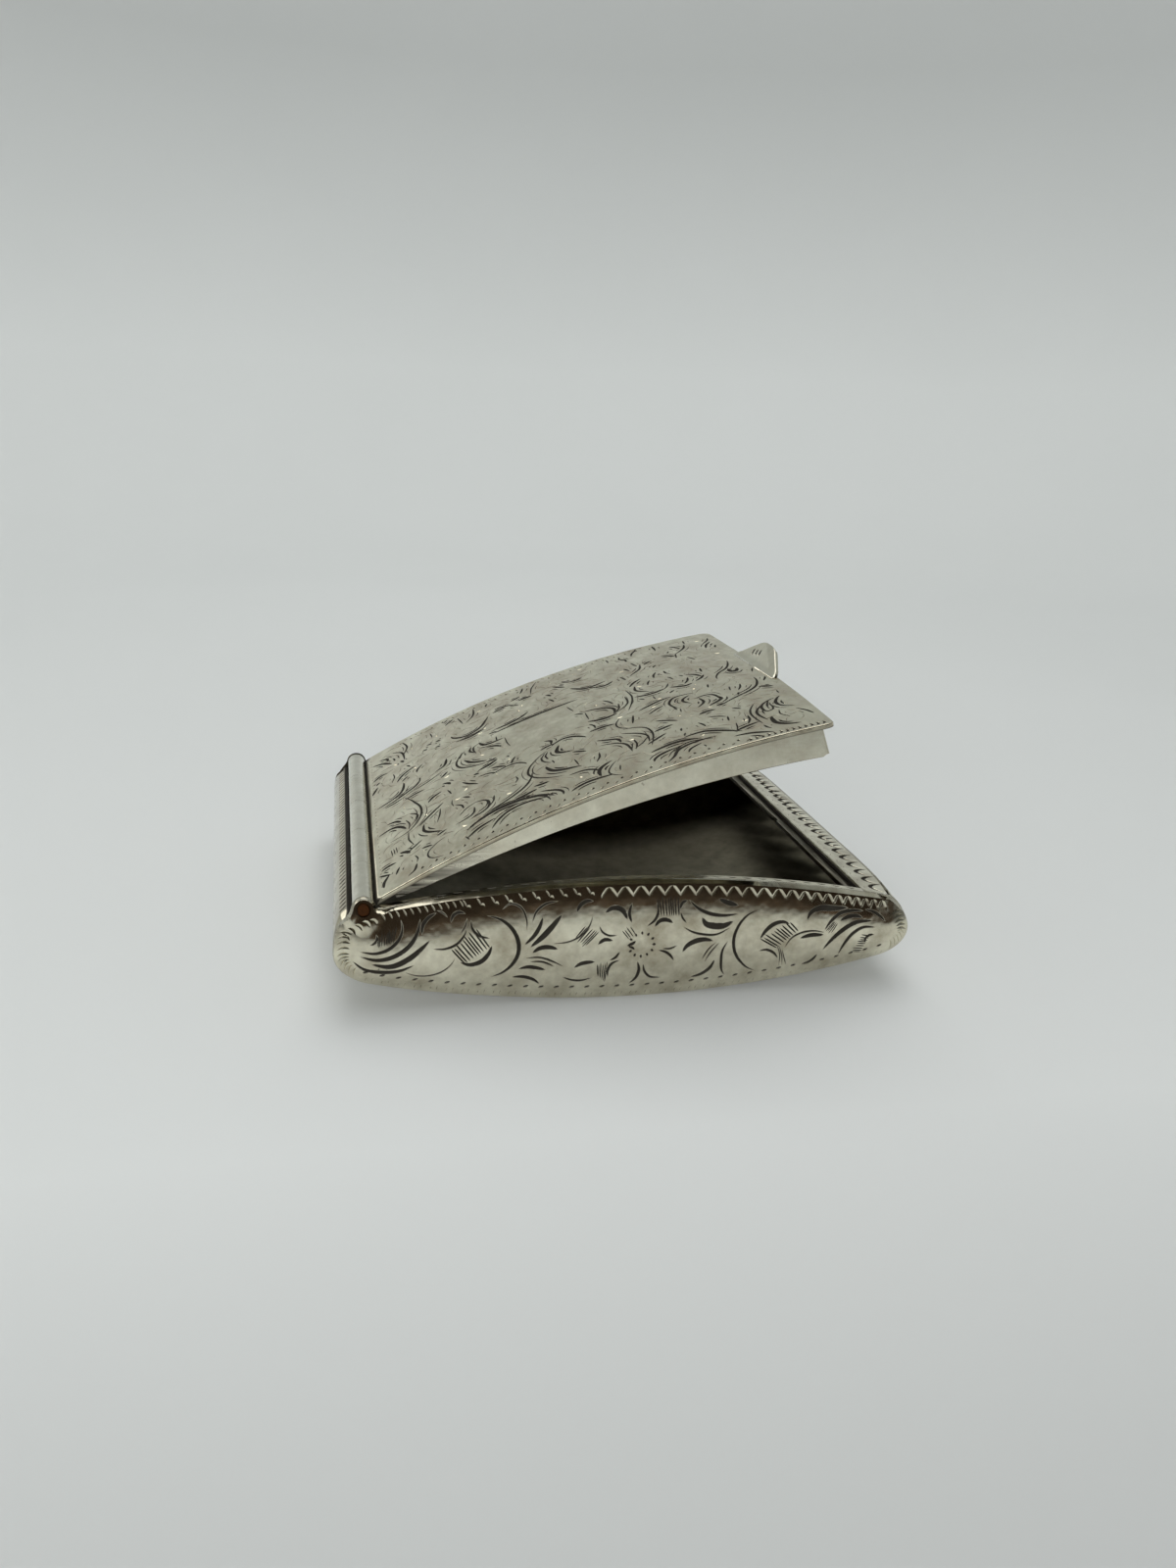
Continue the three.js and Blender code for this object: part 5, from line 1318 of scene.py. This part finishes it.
def crescents(rows):
    """Small light cuts between the main ones, which keep the whole ground lively."""
    taken = np.vstack([smooth_line(row[1:], 12) for row in rows])
    for k, y in enumerate(np.arange(-28.2, 30, 1.9)):
        for x in np.arange(-33.8 + 1.35 * (k % 2), 31.4, 2.7):
            here = np.array([x + 0.5 * math.sin(3.1 * y + x), y + 0.4 * math.sin(2.3 * x - y)])
            if not on_ground([here - 1, here + 1]) or np.hypot(*(taken - here).T).min() < 0.8:
                continue
            turn = 1.3 * math.sin(0.23 * x + 0.17 * y) + 1.2 * math.cos(0.31 * y - 0.1 * x)
            way = np.array([math.cos(turn), math.sin(turn)])
            bow = np.array([-way[1], way[0]]) * (0.4 if (k + int(x)) % 2 else -0.4)
            if (k * 5 + int(x)) % 6 == 0:
                yield Cut(0.36, here - way * 0.5, here + bow * 0.5, here + way * 0.5,
                          lean=0.6, depth=0.22, soot=0)
            else:
                yield lid_cut(0.17, here - way * 1.5, here + bow, here + way * 1.5, soot=0.8)


LID_CUTS = [lid_cut(row[0], *drawn_out(row[1:])) for row in LID_ROWS]
for row in LID_ROWS:
    LID_CUTS += veins(row)
LID_CUTS += crescents(LID_ROWS)
for x in np.arange(-28.9, 19, 2.15):
    for side in (-1, 1):
        LID_CUTS.append(Cut(0.6, (x, side * 30.0), (x + 0.3, side * 29.3), lean=0.5, soot=1.5))
        LID_CUTS.append(Cut(0.36, (x + 0.9, side * 30.9), (x + 1.6, side * 30.3), lean=0.5, soot=1.5))
for x in np.arange(19.6, 31, 0.9):
    LID_CUTS.append(Cut(0.5, (x, -31.1), (x + 0.5, -30.6), (x + 0.3, -29.9), lean=0.4, soot=1.5))
for y in np.arange(-29, 29.5, 1.5):
    LID_CUTS.append(Cut(0.2, (-35.0, y), (-34.9, y + 0.8), lean=0.5))
LID_SILVER = silver("lid silver", (0.78, 0.745, 0.575, 1), (0.46, 0.38, 0.265, 1), 0.8, 0.06, 1, 0.24, True,
                    stretch=(1, 0.5, 1))
# The plate is darkened along its hinge edge beside the barrel, and its edge walls towards the back: painted
# shade.
lid_plate = engraved_sheet("silver_lid_plate", lid_plan, LID_CUTS, on_lid, LID_GRAIN,
                           [LID_SILVER, DARK_INSIDE], thickness=LID_SHEET, shade_behind=0.35,
                           crease_shade=lambda uv: 1 - (uv[:, 0] - LID_START) / 0.35)
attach(lid_plate, "lid")
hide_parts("lid_plate")

# Skirts: plain polished strips soldered under the plate a little way in, deepest at the free end,
# which guide the lid into the mouth and hold it there.
SKIRT_TOP, SKIRT_SHEET, SKIRT_TURN = 1.0, 0.6, 1.2
SKIRT_DROP, SKIRT_HEEL, SKIRT_TAPER = 4.3, 0.8, 0.65
HEEL_X, SKIRT_END, SKIRT_HALF = -33.5, 30.75, 30.6
SKIRT_INSIDE, END_SKIRT_HALF = SKIRT_HALF - SKIRT_SHEET, 29.7


def heel_reflection_and_specks(tree):
    """Painted dark reflection near the hinge, streaked along the polishing lines, and a few brown specks of
    dirt.
    """
    place = add(tree, "ShaderNodeTexCoord").outputs["Object"]
    along = add(tree, "ShaderNodeSeparateXYZ", {0: place}).outputs["X"]
    near = add(tree, "ShaderNodeMapRange", {"Value": along, "From Min": -0.031, "From Max": -0.019,
                                            "To Min": 1.1, "To Max": 0})
    drawn = add(tree, "ShaderNodeMapping", {"Vector": place, "Rotation": (0, 0.36, 0),
                                            "Scale": (60, 300, 1500)})
    streak = add(tree, "ShaderNodeTexNoise", {"Vector": drawn.outputs[0], "Scale": 1, "Detail": 3})
    spot = add(tree, "ShaderNodeTexNoise", {"Vector": place, "Scale": 620, "Detail": 2})
    specks = add(tree, "ShaderNodeMapRange", {"Value": spot.outputs["Fac"], "From Min": 0.68,
                                              "From Max": 0.76, "To Max": 0.6})
    worn = add(tree, "ShaderNodeMapRange", {"Value": streak.outputs["Fac"], "From Min": 0.3,
                                            "From Max": 0.62})
    heel_reflection = add(tree, "ShaderNodeMath", {0: near.outputs[0], 1: worn.outputs[0]}, operation="MULTIPLY")
    return add(tree, "ShaderNodeMath", {0: heel_reflection.outputs[0], 1: specks.outputs[0]}, operation="MAXIMUM",
               use_clamp=True).outputs[0]


POLISHED = silver("polished silver", (0.72, 0.695, 0.57, 1), (0.46, 0.4, 0.29, 1), 0.4, 0.05, 0.5, 0.08, True)
# The skirts: worn silver with a painted dark reflection near the hinge.
WORN_WITH_PAINTED_HEEL = silver("worn silver, painted dark heel", (0.87, 0.84, 0.69, 1), (0.5, 0.43, 0.31, 1), 0.4, 0.05, 0.4, 0.06,
              dirt_and_shade=heel_reflection_and_specks)
run = np.append(np.linspace(HEEL_X, SKIRT_END - SKIRT_TURN, 40), SKIRT_END)
drop = SKIRT_HEEL + (SKIRT_DROP - SKIRT_HEEL) * ((run - HEEL_X) / (SKIRT_END - HEEL_X)) ** SKIRT_TAPER
crown_line = np.column_stack([run, top_z(run) - SKIRT_TOP])
skirt_plan = np.vstack([crown_line - np.column_stack([np.zeros(41), drop]), crown_line[::-1]])


def turned(points):
    """The strip's free end bent in round the corner, then the whole hung with the lid."""
    bend = np.clip((points[:, 0] - SKIRT_END) / SKIRT_TURN + 1, 0, 1) * SKIRT_TURN
    return hung(points - np.column_stack([0 * bend, bend * np.sign(points[:, 1]), 0 * bend]))


for name, y_from in (("lid_skirt_front", -SKIRT_HALF), ("lid_skirt_back", SKIRT_INSIDE)):
    skirt = pulled("silver_" + name, skirt_plan, y_from, y_from + SKIRT_SHEET, WORN_WITH_PAINTED_HEEL, hang=turned)
    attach(skirt, "lid")
    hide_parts(name)
end_top = float(top_z(SKIRT_END)) - SKIRT_TOP
end_plan = [(SKIRT_END - SKIRT_SHEET, end_top - SKIRT_DROP), (SKIRT_END, end_top - SKIRT_DROP),
            (SKIRT_END, end_top), (SKIRT_END - SKIRT_SHEET, end_top)]
skirt = pulled("silver_lid_skirt_end", end_plan, -END_SKIRT_HALF, END_SKIRT_HALF, POLISHED, hang=hung)
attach(skirt, "lid")
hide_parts("lid_skirt_end")

# Lid bearer: a plain strip of sheet soldered under the plate along the hinge edge, between the skirts.
# It stiffens the plate where the barrel pulls on it.
LID_BEARER = 2.6
bearer = grown("silver_lid_bearer", BOWED_STRIP, {
    "Start": HEEL_X, "End": HEEL_X + LID_BEARER, "Depth": SKIRT_TOP, "Sheet": SKIRT_SHEET,
    "Near": -END_SKIRT_HALF, "Far": END_SKIRT_HALF, "Soften": 0.1, "Finish": DULL})
bearer.data.transform(Matrix.Translation((HINGE_X * MM, 0, HINGE_Z * MM))
                      @ Matrix.Rotation(-LID_OPEN, 4, "Y")
                      @ Matrix.Translation((-HINGE_X * MM, 0, -HINGE_Z * MM)))
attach(bearer, "lid")
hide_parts("lid_bearer")

# Thumb tab: a rounded tongue turned up from the free edge, to open the lid by, with three nicks cut
# near its tip.
TAB_ROOT, TAB_CENTRE, TAB_HALF, TAB_LENGTH, TAB_SHEET = 32.7, 3.5, 9.3, 4.1, 0.6
TAB_RISE = math.radians(38)
TAB_SEAM, TAB_ROOTED = 0.1, 0.8
TAB_FOLD, TAB_BEND = 1.3, 0.25

tab_run = np.linspace(-TAB_ROOTED, TAB_LENGTH + 0.5, 120)
tab_rise = TAB_RISE * np.clip((tab_run + TAB_ROOTED) / (2 * TAB_ROOTED), 0, 1)
tab_step = tab_run[1] - tab_run[0]
tab_out, tab_up = (np.concatenate([[0], np.cumsum(part(tab_rise[:-1]))]) * tab_step
                   for part in (np.cos, np.sin))
tab_x = TAB_ROOT - TAB_ROOTED + tab_out
tab_z = float(top_z(TAB_ROOT - TAB_ROOTED)) + TAB_SEAM + tab_up


def on_tab(uv):
    along, across = uv[:, 0], uv[:, 1]
    from_cheek = (across + TAB_HALF) * 0.49 - along * 0.87
    bent = TAB_BEND * np.clip(1 - from_cheek / TAB_FOLD, 0, 1)
    x = np.interp(along, tab_run, tab_x) + bent * math.sin(TAB_RISE)
    z = np.interp(along, tab_run, tab_z) - bent * math.cos(TAB_RISE)
    return hung(np.column_stack([x, across + TAB_CENTRE, z]))


shoulder = bezier((2.7, -4.6), (3.5, -3.2), (TAB_LENGTH, -2.4), (TAB_LENGTH, 0), 10)
cheek = np.vstack([[(0, -TAB_HALF), (0.9, -7.75), (1.8, -6.2)], shoulder])
tab_plan = np.vstack([[(-TAB_ROOTED, -TAB_HALF)], cheek, cheek[-2::-1] * (1, -1), [(-TAB_ROOTED, TAB_HALF)]])
cuts = [Cut(0.75, (along, y), (along + 0.7, y + 0.5), (along + 1.3, y + 0.3), lean=0.5, blunt=0.5)
        for along, y in ((1.0, 3.2), (1.2, 1.9), (1.4, 0.6))]
tab = engraved_sheet("silver_thumb_tab", tab_plan, cuts, on_tab, 0.8, [POLISHED], thickness=TAB_SHEET,
                     edge=0.16, shade_behind=0)
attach(tab, "lid")
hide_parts("thumb_tab")

# Floor and light: a pale paper sweep that rises softly all round, with painted shade up its rising wall and
# towards the viewer, a brown card on the near side for the silver to mirror, and four lamps: a soft one
# above, one like a window at the back, one high at the back and a low one that fills in the front.
SWEEP_RADIUS, SWEEP_CURVE, SWEEP_WALL = 420.0, 300.0, 900.0
sweep_profile = [(0.0, 0.0), (120.0, 0.0), (260.0, 0.0)]
sweep_profile += [(SWEEP_RADIUS + SWEEP_CURVE * math.sin(t), SWEEP_CURVE * (1 - math.cos(t)))
                  for t in np.linspace(0, np.pi / 2, 17)]
sweep_profile.append((SWEEP_RADIUS + SWEEP_CURVE, SWEEP_WALL))
ROUND = 96
points, faces = [], []
for r, z in sweep_profile:
    points += [(r * math.cos(a), r * math.sin(a), z) for a in np.linspace(0, 2 * np.pi, ROUND + 1)[:-1]]
for ring in range(len(sweep_profile) - 1):
    for k in range(ROUND):
        a, b = ring * ROUND + k, ring * ROUND + (k + 1) % ROUND
        faces.append((a, a + ROUND, b + ROUND, b))
paper = bpy.data.materials.new("paper sweep")
paper.use_nodes = True
tree = paper.node_tree
place = add(tree, "ShaderNodeTexCoord").outputs["Object"]
mottle = add(tree, "ShaderNodeTexNoise", {"Vector": place, "Scale": 6, "Detail": 3})
tone = add(tree, "ShaderNodeMix", {"Factor": mottle.outputs["Fac"], "A": (0.80, 0.825, 0.812, 1),
                                   "B": (0.84, 0.862, 0.85, 1)}, data_type="RGBA")
level = add(tree, "ShaderNodeSeparateXYZ", {0: place}).outputs
# Painted shade: the paper's colour darkens up the rising wall and towards the viewer, where the panels mirror
# it too.
far = add(tree, "ShaderNodeMapRange", {"Value": level["Z"], "From Min": 0.1, "From Max": 0.3,
                                       "To Min": 1, "To Max": 0.76})
near = add(tree, "ShaderNodeMapRange", {"Value": level["Y"], "From Min": -0.125, "From Max": -0.065,
                                        "To Min": 0.74, "To Max": 1})
front_shade = add(tree, "ShaderNodeMapRange", {"Value": level["Y"], "From Min": -0.21, "From Max": -0.13,
                                        "To Min": 0.42, "To Max": 1})
front = add(tree, "ShaderNodeMath", {0: near.outputs[0], 1: front_shade.outputs[0]}, operation="MULTIPLY")
graded = add(tree, "ShaderNodeMath", {0: far.outputs[0], 1: front.outputs[0]}, operation="MULTIPLY")
shaded = add(tree, "ShaderNodeVectorMath", {0: tone.outputs["Result"], 1: graded.outputs[0]},
             operation="MULTIPLY")
tree.links.new(shaded.outputs[0], tree.nodes["Principled BSDF"].inputs["Base Color"])
tree.nodes["Principled BSDF"].inputs["Roughness"].default_value = 0.9
tree.nodes["Principled BSDF"].inputs["Specular IOR Level"].default_value = 0.1
floor = mesh_object("floor", points, faces, paper)
floor.data.polygons.foreach_set("use_smooth", [True] * len(faces))

card_material = bpy.data.materials.new("brown card")
card_material.use_nodes = True
tree = card_material.node_tree
tree.nodes.remove(tree.nodes["Principled BSDF"])
place = add(tree, "ShaderNodeTexCoord").outputs["Object"]
up = add(tree, "ShaderNodeSeparateXYZ", {0: place}).outputs["Z"]
climb = add(tree, "ShaderNodeMapRange", {"Value": up, "From Min": 0.012, "From Max": 0.05})
shade = add(tree, "ShaderNodeMix", {"Factor": climb.outputs[0], "A": (0.08, 0.055, 0.037, 1),
                                    "B": (0.028, 0.02, 0.014, 1)}, data_type="RGBA")
glow = add(tree, "ShaderNodeEmission", {"Color": shade.outputs["Result"], "Strength": 1})
tree.links.new(glow.outputs[0], tree.nodes["Material Output"].inputs["Surface"])
CARD_Y, CARD_HALF, CARD_TOP = -330.0, 420.0, 420.0
card = mesh_object("card", [(-CARD_HALF, CARD_Y, 2), (CARD_HALF, CARD_Y, 2), (CARD_HALF, CARD_Y, CARD_TOP),
                            (-CARD_HALF, CARD_Y, CARD_TOP)], [(3, 2, 1, 0)], card_material)
card.visible_camera = card.visible_diffuse = card.visible_shadow = False


def lamp(name, shape, width, depth, power, place, aim=(0, 0, 0)):
    """A broad lamp at a place, turned towards what it aims at."""
    light = bpy.data.lights.new(name, "AREA")
    light.shape = shape
    light.size, light.size_y = width, depth
    light.energy = power
    stand = bpy.data.objects.new(name, light)
    stand.location = place
    stand.rotation_euler = (Vector(aim) - stand.location).to_track_quat("-Z", "Y").to_euler()
    bpy.context.scene.collection.objects.link(stand)
    return stand


soft_lamp = lamp("soft lamp", "DISK", 0.9, 0.9, 1.6, (-0.1, -0.08, 0.85), (-0.1, -0.08, 0))
soft_lamp.visible_glossy = False
window_lamp = lamp("window lamp", "RECTANGLE", 0.55, 0.6, 1.7, (-0.55, 0.32, 0.38))
window_lamp.visible_diffuse = False
lamp("high lamp", "RECTANGLE", 0.7, 0.55, 2.0, (0.05, 0.37, 0.78))
fill_lamp = lamp("fill lamp", "RECTANGLE", 1.0, 0.4, 6.4, (-0.15, -0.62, 0.16))
fill_lamp.visible_glossy = False

world = bpy.data.worlds.new("studio")
world.use_nodes = True
world.node_tree.nodes["Background"].inputs["Color"].default_value = (0.94, 1.0, 0.98, 1)
world.node_tree.nodes["Background"].inputs["Strength"].default_value = 0.1
bpy.context.scene.world = world

# Camera: where the photograph was taken from, fitted to edges of the case that were picked in it. The
# lens and its shift are in pixels of a picture 1200 wide and 1600 high.
PICTURE_HEIGHT = 1600
FOCAL_PIXELS = 1168.153
CENTRE_SHIFT = (10.83, -6.443)
lens = bpy.data.cameras.new("camera")
lens.sensor_width = 36
lens.lens = FOCAL_PIXELS * lens.sensor_width / PICTURE_HEIGHT
lens.shift_x, lens.shift_y = (s / PICTURE_HEIGHT for s in CENTRE_SHIFT)
lens.clip_start = 0.01
camera = bpy.data.objects.new("camera", lens)
camera.matrix_world = Matrix(((0.98008, 0.0198, -0.1976, -0.039666), (-0.19377, 0.3133, -0.92968, -0.175887),
                              (0.0435, 0.94945, 0.31089, 0.080946), (0, 0, 0, 1)))
bpy.context.scene.collection.objects.link(camera)
bpy.context.scene.camera = camera
bpy.context.scene.view_settings.view_transform = "Standard"
